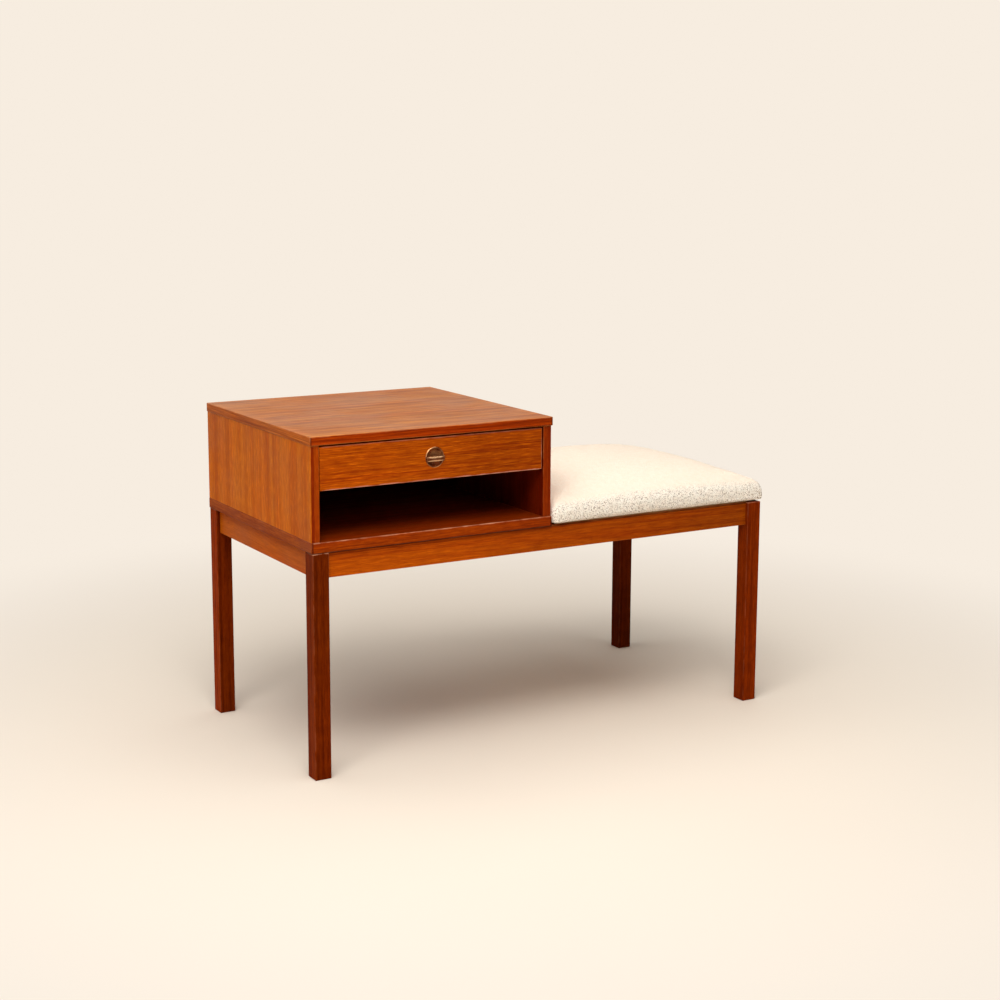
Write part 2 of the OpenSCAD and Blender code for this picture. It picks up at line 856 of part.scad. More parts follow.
module seat_foam() {
    color("#e3d9b8") difference() {
        seat_form(cover_t + run);
        seat_board_room(run);
    }
}

module seat_cover() {
    color(wool) difference() {
        seat_form(0);
        difference() {
            seat_form(cover_t);
            translate([0, 0, -over]) seat_board_room(-seat_board_in);
        }
        seat_board_room(run);
    }
}

leg_front_left();
leg_front_right();
leg_back_left();
leg_back_right();
apron_front();
apron_back();
apron_left();
apron_right();
cross_rail();
corner_block_front_left();
corner_block_front_right();
corner_block_back_left();
corner_block_back_right();
frame_screws();
base_board();
side_panel_left();
side_panel_right();
top_board();
back_panel();
cabinet_dowels();
runner_left();
runner_right();
runner_screws();
drawer_front();
drawer_side_left();
drawer_side_right();
drawer_back();
drawer_bottom();
bottom_screws();
pull_cup();
pull_bar();
seat_board();
seat_foam();
seat_cover();
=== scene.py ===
"""Finishes, seat pad, light and camera of a teak telephone bench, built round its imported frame."""
import logging
import math
from dataclasses import dataclass, replace
from enum import Enum

import bpy
from mathutils import Euler, Matrix, Vector


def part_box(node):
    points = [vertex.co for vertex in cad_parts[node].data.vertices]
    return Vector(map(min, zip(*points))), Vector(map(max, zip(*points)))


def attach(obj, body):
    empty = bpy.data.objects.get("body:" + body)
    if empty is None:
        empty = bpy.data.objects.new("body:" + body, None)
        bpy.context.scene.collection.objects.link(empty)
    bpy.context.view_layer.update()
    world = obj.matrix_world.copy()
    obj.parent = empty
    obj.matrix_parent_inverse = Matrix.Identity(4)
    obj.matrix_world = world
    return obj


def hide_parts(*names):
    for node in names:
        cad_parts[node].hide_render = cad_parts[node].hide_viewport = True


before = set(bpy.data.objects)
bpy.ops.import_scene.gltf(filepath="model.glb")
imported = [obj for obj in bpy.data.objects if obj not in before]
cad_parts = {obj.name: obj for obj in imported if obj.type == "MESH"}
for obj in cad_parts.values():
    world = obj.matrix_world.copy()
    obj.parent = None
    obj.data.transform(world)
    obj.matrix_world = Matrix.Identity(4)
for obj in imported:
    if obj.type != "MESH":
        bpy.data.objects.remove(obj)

Rgb = tuple[float, float, float]
Point = tuple[float, float, float]
Band = tuple[float, ...]
Values = dict[str | int, object]
Sockets = dict[str, tuple[str, ...]]
Node = bpy.types.Node
Socket = bpy.types.NodeSocket
NodeTree = bpy.types.NodeTree
Material = bpy.types.Material
Piece = bpy.types.Object

LOG = logging.getLogger("telephone_bench")
MM = 0.001
ORIGIN: Point = (0.0, 0.0, 0.0)
PLAIN: Rgb = (1.0, 1.0, 1.0)
TO_FRONT: Point = (0.0, -1.0, 0.0)
LOOKS_ASIDE: Band = (0.5, 0.8)
LOOKS_UP: Band = (0.4, 0.9)


class Grain(Enum):
    """Direction of the wood's fibres, as the turn that lays them along X."""

    ALONG_X = (0.0, 0.0, 0.0)
    ALONG_Y = (0.0, 0.0, -math.pi / 2)
    ALONG_Z = (0.0, math.pi / 2, 0.0)

    def turned(self, point: Vector) -> Vector:
        """Turns a point so that the fibres lie along X."""
        return Euler(self.value).to_matrix() @ point

    def fibre(self) -> Point:
        """Gives the unit vector along the fibres."""
        back = Euler(self.value).to_matrix().inverted() @ Vector((1.0, 0.0, 0.0))
        return tuple(abs(round(part)) for part in back)


class Face(Enum):
    """Axis across a board's broad faces, which tells its edges from its faces."""

    X = (1.0, 0.0, 0.0)
    Y = (0.0, 1.0, 0.0)
    Z = (0.0, 0.0, 1.0)


@dataclass(frozen=True)
class Layer:
    """One layer of noise in a finish.

    scale is one number, or one for each axis, and weight is that of the fine octaves. The noise
    from the low to the high end of band is spread over 0 to 1, or over band's last two numbers.
    """

    scale: object
    octaves: float = 2.0
    weight: float = 0.5
    band: Band = ()


def adjust(target: object, **settings: object) -> None:
    """Sets several properties of one thing."""
    for key, value in settings.items():
        setattr(target, key, value)


class Graph:
    """Adds and links shader nodes in one tree."""

    def __init__(self, tree: NodeTree) -> None:
        """Starts on an empty tree."""
        self.tree = tree
        tree.nodes.clear()

    def feed(self, target: Socket, value: object) -> None:
        """Links an input to a socket, or sets its value.

        Args:
            target: Input socket.
            value: Output socket, number, vector or colour.
        """
        if isinstance(value, Socket):
            self.tree.links.new(value, target)
        elif target.type == "RGBA" and len(value) == 3:
            target.default_value = (*value, 1.0)
        else:
            target.default_value = value

    def fill(self, node: Node, values: Values) -> Node:
        """Feeds several inputs of a node.

        Args:
            node: The node.
            values: What each input gets, by its name or number.

        Returns:
            The node.
        """
        for key, value in values.items():
            self.feed(node.inputs[key], value)
        return node

    def node(self, kind: str, values: Values | None = None, **settings: object) -> Node:
        """Adds a node.

        Args:
            kind: Node type without its ShaderNode prefix, or the full name of a group's node.
            values: What its inputs get, by name or number.
            settings: Properties to set on it.

        Returns:
            The new node.
        """
        made = self.tree.nodes.new(kind if kind.startswith("Node") else "ShaderNode" + kind)
        adjust(made, **settings)
        return self.fill(made, values or {})

    def math(self, operation: str, a: object, b: object, clamp: bool = False) -> Socket:
        """Adds a Math node."""
        return self.node("Math", {0: a, 1: b}, operation=operation, use_clamp=clamp).outputs[0]

    def plus(self, a: object, b: object) -> Socket:
        """Adds two values."""
        return self.math("ADD", a, b)

    def less(self, a: object, b: object) -> Socket:
        """Takes the second value from the first."""
        return self.math("SUBTRACT", a, b)

    def times(self, a: object, b: object) -> Socket:
        """Multiplies two values."""
        return self.math("MULTIPLY", a, b)

    def swing(self, value: Socket, reach: object) -> Socket:
        """Scales how far a value swings about its middle of 0.5."""
        return self.times(self.less(value, 0.5), reach)

    def vector(self, operation: str, a: object, b: object = ORIGIN) -> Socket:
        """Adds a Vector Math node that gives a vector."""
        return self.node("VectorMath", {0: a, 1: b}, operation=operation).outputs["Vector"]

    def measure(self, operation: str, a: object, b: object = ORIGIN) -> Socket:
        """Adds a Vector Math node that gives a number."""
        return self.node("VectorMath", {0: a, 1: b}, operation=operation).outputs["Value"]

    def split(self, vector: Socket) -> list[Socket]:
        """Gives the X, Y and Z parts of a vector."""
        return list(self.node("SeparateXYZ", {0: vector}).outputs)

    def normal(self) -> Socket:
        """Gives the direction that the surface looks to."""
        return self.node("NewGeometry").outputs["Normal"]

    def ramp(self, value: Socket, low: float, high: float, start: object = 0.0, end: object = 1.0) -> Socket:
        """Maps a value smoothly from one range to another.

        Args:
            value: Value to map.
            low: Value that gives start.
            high: Value that gives end.
            start: Result at low.
            end: Result at high.

        Returns:
            The mapped value.
        """
        values = {"Value": value, "From Min": low, "From Max": high, "To Min": start, "To Max": end}
        return self.node("MapRange", values, interpolation_type="SMOOTHSTEP").outputs[0]

    def layer(self, place: Socket, layer: Layer) -> Socket:
        """Adds a layer of noise.

        Args:
            place: Coordinates.
            layer: Its scale, octaves and band.

        Returns:
            Its value.
        """
        even = isinstance(layer.scale, float)
        made = self.node("TexNoise", {
            "Vector": place if even else self.vector("MULTIPLY", place, layer.scale),
            "Scale": layer.scale if even else 1.0, "Detail": layer.octaves, "Roughness": layer.weight})
        return self.ramp(made.outputs[0], *layer.band) if layer.band else made.outputs[0]

    def mix(self, share: object, a: object, b: object, blend: str = "MIX") -> Socket:
        """Mixes two colours, with a share of the second one."""
        made = self.node("Mix", data_type="RGBA", blend_type=blend)
        return self.fill(made, {"Factor": share, 6: a, 7: b}).outputs[2]

    def tint(self, colour: object, by: object, share: object = 1.0) -> Socket:
        """Multiplies a colour by another one, as far as share says."""
        return self.mix(share, colour, by, "MULTIPLY")

    def colour(self, red: Socket, green: Socket, blue: Socket) -> Socket:
        """Makes a colour of its three channels."""
        return self.node("CombineColor", {0: red, 1: green, 2: blue}).outputs[0]

    def lay(self, place: Socket, grain: Grain, centre: Vector, heart: Point) -> Socket:
        """Turns and moves coordinates so that the fibres run along X beside the tree's heart.

        Args:
            place: Object coordinates.
            grain: Direction of the fibres.
            centre: Middle of the board.
            heart: Where that middle lies, seen from the tree's heart, with the fibres along X.

        Returns:
            The coordinates in the log.
        """
        shift = Vector(heart) - grain.turned(centre)
        values = {"Vector": place, "Location": shift, "Rotation": grain.value}
        return self.node("Mapping", values, vector_type="POINT").outputs[0]

    def painted_facing_shade(self, side: Point, tone: object) -> Socket:
        """Gives the brightness of painted light and shade on the faces that look to one side, and 1 on the
        others.
        """
        return self.ramp(self.measure("DOT_PRODUCT", self.normal(), side), *LOOKS_ASIDE, 1.0, tone)


class Group(Graph):
    """A shader node group that several materials share. It takes coordinates as Vector."""

    def __init__(self, name: str, inputs: Sockets, outputs: Sockets) -> None:
        """Makes the group with its sockets.

        Args:
            name: Name of the group.
            inputs: Names of its other inputs, by kind: Float, Vector or Color.
            outputs: Names of its outputs, by kind.
        """
        super().__init__(bpy.data.node_groups.new(name, "ShaderNodeTree"))
        sides = (("INPUT", {"Vector": ("Vector",)}), ("INPUT", inputs), ("OUTPUT", outputs))
        for side, sockets in sides:
            for kind, names in sockets.items():
                for key in names:
                    self.tree.interface.new_socket(name=key, in_out=side, socket_type="NodeSocket" + kind)
        self.given = self.node("NodeGroupInput").outputs
        self.place = self.given["Vector"]
        self.leave = self.node("NodeGroupOutput")


class TimberGrain(Group):
    """Grain of the wood: growth rings, fibres, ripple, pores and flecks, with the fibres along X.

    The inputs are named after the fields of the wood finish that feed them.
    """

    takes: Sockets = {
        "Color": ("light", "dark", "pore"),
        "Vector": ("fleck_scale", "fibre_scale"),
        "Float": ("ring_width", "wander", "rings", "streaks", "ripple", "pores", "flecks", "glints"),
    }
    across: Point = (0.0, 1.0, 1.0)
    sway: Layer = Layer((1.3, 5.0, 5.0))
    jitter: Layer = Layer((9.0, 24.0, 24.0), 3.0, 0.55)
    jitter_share: float = 0.16
    ring_noise: Layer = Layer(0.9, 3.0, 0.62, (0.36, 0.66))
    fibres: Layer = Layer(1.0, 4.0, 0.62, (0.34, 0.68))
    broad: Layer = Layer((2.2, 16.0, 16.0))
    broad_share: float = 0.7
    ripple: Layer = Layer((46.0, 14.0, 14.0), 2.0, 0.55)
    warmth: Layer = Layer((3.0, 34.0, 34.0), 3.0, 0.6, (0.35, 0.68))
    warmth_share: float = 0.7
    redder: Rgb = (1.0, 0.80, 0.62)
    pores: Layer = Layer((70.0, 1500.0, 1500.0), 2.0, 0.6, (0.58, 0.70))
    flecks: Layer = Layer(1.0, 2.0, 0.6)
    fleck_band: Band = (0.50, 0.64)
    glint_band: Band = (0.34, 0.48, 1.0, -0.25)
    glint_tint: Rgb = (1.0, 1.5, 3.0)
    pore_depth: float = 0.5
    fine_depth: float = 0.25

    def __init__(self) -> None:
        """Builds the group."""
        super().__init__("TimberGrain", self.takes, {"Color": ("Color",), "Float": ("Height", "Tone")})
        given, place = self.given, self.place
        streaks = self.layer(self.vector("MULTIPLY", place, given["fibre_scale"]), self.fibres)
        dark = self.plus(self.times(self.rings(), given["rings"]), self.swing(streaks, given["streaks"]))
        dark = self.plus(dark, self.swing(self.layer(place, self.broad), self.broad_share))
        ripple = self.swing(self.layer(place, self.ripple), given["ripple"])
        dark = self.math("ADD", dark, ripple, clamp=True)
        warmth = self.times(self.layer(place, self.warmth), self.warmth_share)
        body = self.tint(self.mix(dark, given["light"], given["dark"]), self.redder, warmth)
        noise = self.layer(self.vector("MULTIPLY", place, given["fleck_scale"]), self.flecks)
        flecks, pores = self.ramp(noise, *self.fleck_band), self.layer(place, self.pores)
        for mask, share in ((flecks, "flecks"), (pores, "pores")):
            body = self.mix(self.times(mask, given[share]), body, given["pore"])
        glint = self.times(self.ramp(noise, *self.glint_band), given["glints"])
        shimmer = self.colour(*(self.plus(self.times(glint, part), 1.0) for part in self.glint_tint))
        sunk = self.plus(self.times(pores, self.pore_depth), self.times(flecks, self.fine_depth))
        self.fill(self.leave, {"Color": self.tint(body, shimmer), "Tone": dark,
                               "Height": self.less(self.times(streaks, self.fine_depth), sunk)})

    def rings(self) -> Socket:
        """Draws the growth rings round the tree's heart.

        Returns:
            0 in the light wood of a ring, 1 in the dark wood.
        """
        place, wander, noise = self.place, self.given["wander"], self.ring_noise
        radius = self.measure("LENGTH", self.vector("MULTIPLY", place, self.across))
        radius = self.plus(radius, self.swing(self.layer(place, self.sway), wander))
        shake = self.swing(self.layer(place, self.jitter), self.times(wander, self.jitter_share))
        turns = self.math("DIVIDE", self.plus(radius, shake), self.given["ring_width"])
        values = {"W": turns, "Scale": noise.scale, "Detail": noise.octaves, "Roughness": noise.weight}
        return self.ramp(self.node("TexNoise", values, noise_dimensions="1D").outputs[0], *noise.band)


class BoardZones(Group):
    """Rubbed arrises, margins that carry painted sheen, edge strips, ends and lip joints of a board, found
    from its own box.
    """

    wobble: Layer = Layer(38.0, 4.0, 0.6, (0.3, 0.7, 0.55, 1.3))
    patches: Layer = Layer(9.0, 3.0, 0.6)
    rub_patches: Band = (0.32, 0.6, 0.35, 1.0)
    rub_fade: Band = (0.25, 1.0, 1.0, 0.0)
    margin_patches: Band = (0.30, 0.62, 0.3, 1.0)
    margin_fade: Band = (3 * MM, 22 * MM, 1.0, 0.0)
    strip_from: Band = (0.6 * MM, 1.4 * MM)
    end_to: Band = (0.2 * MM, 0.9 * MM, 1.0, 0.0)
    tip_to: Band = (3.2 * MM, 3.8 * MM, 1.0, 0.0)

    def __init__(self) -> None:
        """Builds the group."""
        super().__init__("BoardZones", {"Vector": ("Low", "High", "Face", "Along"), "Float": ("Rub Width",)},
                         {"Float": ("Arris", "Margin", "Strip", "End", "Tip")})
        given, place = self.given, self.place
        from_low = self.vector("SUBTRACT", place, given["Low"])
        from_high = self.vector("SUBTRACT", given["High"], place)
        near = self.vector("MAXIMUM", self.vector("MINIMUM", from_low, from_high))
        x, y, z = self.split(near)
        largest = self.math("MAXIMUM", self.math("MAXIMUM", x, y), z)
        two_nearest = self.less(self.plus(self.plus(x, y), z), largest)
        width = self.times(given["Rub Width"], self.layer(place, self.wobble))
        rub = self.ramp(self.math("DIVIDE", two_nearest, width), *self.rub_fade)
        # Band near the edges of the faces, where the top board gets painted sheen.
        margin = self.ramp(two_nearest, *self.margin_fade)
        patches = self.layer(place, self.patches)
        strip = self.ramp(self.measure("DOT_PRODUCT", near, given["Face"]), *self.strip_from)
        along = self.measure("DOT_PRODUCT", near, given["Along"])
        end = self.ramp(along, *self.end_to)
        tip = self.times(self.ramp(along, *self.tip_to), self.less(1.0, end))
        self.fill(self.leave, {
            "Arris": self.times(rub, self.ramp(patches, *self.rub_patches)),
            "Margin": self.times(margin, self.ramp(patches, *self.margin_patches)),
            "Strip": strip, "End": end, "Tip": self.times(tip, strip)})


class Handling(Group):
    """Marks of handling: cloudy polish and fine scratches."""

    cloud: Layer = Layer(7.0, 4.0, 0.62, (0.3, 0.72))
    hairs: Layer = Layer((6.0, 900.0, 900.0), 1.0, 0.5, (0.70, 0.76))
    patches: Layer = Layer(14.0, 2.0, 0.5, (0.52, 0.64))
    axis: Point = (0.2, 0.3, 0.93)
    angle: float = 0.5

    def __init__(self) -> None:
        """Builds the group."""
        super().__init__("Handling", {}, {"Float": ("Cloud", "Scratch")})
        turn = {"Vector": self.place, "Axis": self.axis, "Angle": self.angle}
        turned = self.node("VectorRotate", turn, rotation_type="AXIS_ANGLE").outputs[0]
        lines = self.times(self.layer(turned, self.hairs), self.layer(self.place, self.patches))
        self.fill(self.leave, {"Cloud": self.layer(self.place, self.cloud), "Scratch": lines})


class LoopedYarn(Group):
    """Looped wool: knots of yarn, the gaps between them, where the cover paints shade, and dark flecks,
    measured in loops.
    """

    octaves: float = 2.0
    middle: Point = (0.5, 0.5, 0.5)
    warp_scale: float = 0.55
    warp_reach: Point = (1.1, 1.1, 1.1)
    smoothness: float = 0.35
    knot_band: Band = (0.05, 0.75, 1.0, 0.0)
    knot_share: float = 0.72
    curl_scale: float = 0.42
    curl_distortion: float = 9.0
    curl_share: float = 0.2
    fuzz: Layer = Layer(3.4, 3.0, 0.65)
    fuzz_share: float = 0.22
    gap_band: Band = (0.24, 0.44, 1.0, 0.0)
    scatter: Layer = Layer(1.5, 2.0, 0.6, (0.535, 0.605))
    drift: Layer = Layer(0.045, 2.0, 0.5, (0.3, 0.6, 0.6, 1.0))
    tone: Layer = Layer(0.3, 3.0, 0.6)

    def __init__(self) -> None:
        """Builds the group."""
        super().__init__("LoopedYarn", {"Float": ("Loops",)}, {"Float": ("Height", "Gap", "Fleck", "Tone")})
        unit = self.vector("MULTIPLY", self.place, self.given["Loops"])
        warp = self.node("TexNoise", {"Vector": unit, "Scale": self.warp_scale, "Detail": self.octaves})
        bend = self.vector("SUBTRACT", warp.outputs["Color"], self.middle)
        bent = self.vector("ADD", unit, self.vector("MULTIPLY", bend, self.warp_reach))
        cell = {"Vector": bent, "Scale": 1.0, "Smoothness": self.smoothness}
        cells = self.node("TexVoronoi", cell, feature="SMOOTH_F1")
        knots = self.ramp(cells.outputs["Distance"], *self.knot_band)
        ring = {"Vector": bent, "Scale": self.curl_scale, "Detail": self.octaves,
                "Distortion": self.curl_distortion}
        curl = self.node("TexWave", ring, wave_type="RINGS", rings_direction="SPHERICAL").outputs[1]
        fuzz = self.times(self.layer(bent, self.fuzz), self.fuzz_share)
        fine = self.plus(self.times(curl, self.curl_share), fuzz)
        height = self.plus(self.times(knots, self.knot_share), fine)
        self.fill(self.leave, {
            "Height": height, "Gap": self.ramp(height, *self.gap_band),
            "Fleck": self.times(self.layer(bent, self.scatter), self.layer(unit, self.drift)),
            "Tone": self.layer(unit, self.tone)})


@dataclass(frozen=True)
class WoodFinish:
    """Oiled wood: its colours, the run of its growth rings and fibres, its polish and its wear.

    strip tints a board's narrow edges, lip the lips on its ends, outer the outer layer of a side panel's
    edge, and inner is painted shade on the panel's face inside the cabinet. wax_top is the wax on the faces
    that look up, and margin paints sheen near the edges of a board's faces.
    """

    light: Rgb
    dark: Rgb
    pore: Rgb
    rubbed: Rgb
    strip: Rgb = PLAIN
    lip: Rgb = PLAIN
    outer: Rgb = PLAIN
    outer_width: float = 6.7 * MM
    inner: Rgb = PLAIN
    ring_width: float = 5 * MM
    wander: float = 9 * MM
    rings: float = 0.6
    streaks: float = 0.6
    ripple: float = 0.15
    pores: float = 0.5
    flecks: float = 0.3
    glints: float = 0.15
    fleck_scale: Point = (95.0, 560.0, 560.0)
    fibre_scale: Point = (5.0, 230.0, 230.0)
    margin: float = 0.0
    gloss: float = 0.42
    shine: float = 0.035
    wax_top: float = 0.0
    wax_rough: float = 0.42
    rub: float = 0.5
    rub_low: float = 0.1
    rub_top: float = 0.0
    rub_width: float = 2.2 * MM
    patina: float = 0.06
    relief: float = 0.12 * MM

    def timber(self) -> Values:
        """Gives what the wood group takes from the finish."""
        return {key: getattr(self, key) for keys in TimberGrain.takes.values() for key in keys}


@dataclass(frozen=True)
class Board:
    """One wooden node: its finish, the way it lies in the log, its edges and its tone.

    outer is the side that a panel's outer face looks to, -1 for -X and 1 for +X. tone is the
    brightness at the low and the high end of the fibres, which on the legs is painted light and shade.
    side_painted_light is painted light and shade on the faces that look to side. shade_top and shade_low
    paint shadow lines along the front's upper and lower edge, and end_wear is the wear of the arrises at the
    low end.
    """

    node: str
    finish: WoodFinish
    grain: Grain
    face: Face
    heart: Point
    lipped: bool = False
    outer: int = 0
    tone: Band = (1.0, 1.0)
    side: Point = (-1.0, 0.0, 0.0)
    side_painted_light: float = 1.0
    shade_top: float = 1.0
    shade_low: float = 1.0
    end_wear: float = 1.0


class Skin:
    """A material in the making, with its graph, object coordinates and Principled BSDF."""

    def __init__(self, name: str) -> None:
        """Starts the material under its name."""
        self.material = bpy.data.materials.new(name)
        self.material.use_nodes = True
        self.graph = Graph(self.material.node_tree)
        self.place = self.graph.node("TexCoord").outputs["Object"]
        self.shader = self.graph.node("BsdfPrincipled")
        self.graph.node("OutputMaterial", {"Surface": self.shader.outputs[0]})

    def use(self, group: NodeTree, values: Values) -> object:
        """Places a shared group and gives its outputs."""
        return self.graph.node("Group", values, node_tree=group).outputs

    def complete(self, values: Values, height: Socket, depth: float) -> Material:
        """Feeds the shader and its bump.

        Args:
            values: What the shader's inputs get.
            height: Height of the surface, from 0 to 1.
            depth: Height of 1, in metres.

        Returns:
            The material.
        """
        bump = self.graph.node("Bump", {"Strength": 1.0, "Distance": depth, "Height": height})
        self.graph.fill(self.shader, {**values, "Normal": bump.outputs[0]})
        return self.material


class WoodSkin(Skin):
    """Material of one board, cut from its own place in the log."""

    lip_heart: Point = (0.3, 0.11, 0.05)
    tip_share: float = 0.8
    soft_line: float = 0.4 * MM
    inner_skin: float = 1 * MM
    # Painted shadow lines: under_shadow_line spans the top of a board's front face, over_shadow_line its
    # foot.
    under_shadow_line: Band = (3.4 * MM, 2.0 * MM)
    over_shadow_line: Band = (1.2 * MM, 2.4 * MM)
    rub_rise: Band = (0.3, 0.7)
    top_rub: Band = (3 * MM, 1 * MM)
    end_rub: Band = (2.5 * MM, 5 * MM)
    gloss_swing: Band = (-0.05, 0.07)
    tone_rough: float = 0.08
    scratch_gloss: float = 0.08
    scratch_depth: float = 0.3

    def __init__(self, shop: "Workshop", board: Board) -> None:
        """Starts the material and places the shared groups in it.

        Args:
            shop: Holder of the shared groups.
            board: The board and its finish.
        """
        super().__init__(board.node + "_wood")
        graph, place, finish = self.graph, self.place, board.finish
        self.board = board
        self.low, self.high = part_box(board.node)
        self.fibre = board.grain.fibre()
        self.along = graph.measure("DOT_PRODUCT", place, self.fibre)
        self.rise = graph.split(place)[2]
        self.zones = self.use(shop.zones, {
            "Vector": place, "Low": tuple(self.low), "High": tuple(self.high), "Face": board.face.value,
            "Along": self.fibre, "Rub Width": finish.rub_width})
        self.marks = self.use(shop.handling, {"Vector": place})
        self.ends = graph.times(self.zones["End"], self.zones["Strip"]) if board.lipped else None
        self.timber = self.use(shop.timber, {"Vector": self.lie(), **finish.timber()})

    def lie(self) -> Socket:
        """Lays the board in the log, and the lips on its ends across it.

        Returns:
            The coordinates in the log.
        """
        centre = (self.low + self.high) / 2
        lie = self.graph.lay(self.place, self.board.grain, centre, self.board.heart)
        if not self.board.lipped:
            return lie
        lip = self.graph.lay(self.place, Grain.ALONG_Y, centre, self.lip_heart)
        return self.graph.node("Mix", {0: self.ends, 4: lie, 5: lip}, data_type="VECTOR").outputs[1]

    def outer_part(self, width: float) -> Socket:
        """Masks the outer part of a side panel.

        Args:
            width: Width of the outer part.

        Returns:
            1 on the outer part, 0 on the rest.
        """
        x = self.graph.split(self.place)[0]
        left = self.board.outer < 0
        inward = self.graph.less(x, self.low.x) if left else self.graph.less(self.high.x, x)
        return self.graph.ramp(inward, width - self.soft_line, width + self.soft_line, 1.0, 0.0)

    def colour(self) -> Socket:
        """Tints the grain on the edges, the lips and the outer layer of a side panel, and paints shade on the
        panel's face inside the cabinet.

        Returns:
            The colour before shade and wear.
        """
        graph, finish, zones = self.graph, self.board.finish, self.zones
        colour = graph.mix(zones["Strip"], PLAIN, finish.strip)
        if self.board.lipped:
            colour = graph.mix(self.ends, colour, finish.lip)
        colour = graph.tint(self.timber["Color"], colour)
        if self.board.lipped:
            colour = graph.mix(graph.times(zones["Tip"], self.tip_share), colour, finish.pore)
        if self.board.outer:
            outer = graph.times(self.outer_part(finish.outer_width), zones["Strip"])
            colour = graph.tint(colour, finish.outer, outer)
            # Painted shade on the side panel's face inside the cabinet.
            within = graph.less(1.0, self.outer_part((self.high - self.low).x - self.inner_skin))
            inner = graph.times(within, graph.less(1.0, zones["Strip"]))
            colour = graph.tint(colour, finish.inner, inner)
        return colour

    def tone(self) -> Socket:
        """Finds the brightness: cloudy polish, painted sheen near the edges, ends, painted light and shade on
        the faces that look to one side, and painted shadow lines.

        Returns:
            The brightness.
        """
        graph, board, finish = self.graph, self.board, self.board.finish
        cloud = graph.ramp(self.marks["Cloud"], 0.0, 1.0, 1.0 - finish.patina, 1.0 + finish.patina)
        # Painted sheen near the edges of the board's faces.
        cloud = graph.plus(cloud, graph.times(self.zones["Margin"], finish.margin))
        start, end = (corner.dot(Vector(self.fibre)) for corner in (self.low, self.high))
        cloud = graph.times(cloud, graph.ramp(self.along, start, end, *board.tone))
        # Painted light and shade on the faces that look to board.side.
        cloud = graph.times(cloud, graph.painted_facing_shade(board.side, board.side_painted_light))
        top, foot = self.high.z, self.low.z
        # Painted shadow lines along the upper and lower edge of the front face, as dark as shade_top and
        # shade_low say.
        under = graph.ramp(self.rise, *(top - part for part in self.under_shadow_line), 1.0, board.shade_top)
        over = graph.ramp(self.rise, *(foot + part for part in self.over_shadow_line), board.shade_low, 1.0)
        return graph.times(cloud, graph.painted_facing_shade(TO_FRONT, graph.times(under, over)))

    def wear(self) -> Socket:
        """Finds where the arrises are rubbed: by height, along the top and away from the low end.

        Returns:
            The share of rubbed wood.
        """
        graph, board, finish = self.graph, self.board, self.board.finish
        top, foot = self.high.z, self.low.z
        rise = (foot + part * (top - foot) for part in self.rub_rise)
        worn = graph.ramp(self.rise, *rise, finish.rub_low, finish.rub)
        upper = graph.ramp(self.rise, *(top - part for part in self.top_rub), 0.0, finish.rub_top)
        start = self.low.dot(Vector(self.fibre))
        from_end = graph.ramp(self.along, *(start + part for part in self.end_rub), board.end_wear, 1.0)
        return graph.times(self.zones["Arris"], graph.times(graph.math("MAXIMUM", worn, upper), from_end))

    def build(self) -> Material:
        """Joins colour, shade, wear and polish.

        Returns:
            The material.
        """
        graph, finish, scratch = self.graph, self.board.finish, self.marks["Scratch"]
        tone = self.tone()
        colour = graph.tint(self.colour(), graph.colour(tone, tone, tone))
        low, high = (finish.gloss + part for part in self.gloss_swing)
        rough = graph.plus(graph.ramp(self.marks["Cloud"], 0.0, 1.0, low, high),
                           graph.times(self.timber["Tone"], self.tone_rough))
        rough = graph.math("SUBTRACT", rough, graph.times(scratch, self.scratch_gloss), clamp=True)
        values = {"Base Color": graph.mix(self.wear(), colour, finish.rubbed), "Roughness": rough,
                  "Specular IOR Level": finish.shine}
        if finish.wax_top:
            up = graph.split(graph.normal())[2]
            values["Coat Weight"] = graph.ramp(up, *LOOKS_UP, 0.0, finish.wax_top)
            values["Coat Roughness"] = finish.wax_rough
        height = graph.less(self.timber["Height"], graph.times(scratch, self.scratch_depth))
        return self.complete(values, height, finish.relief)


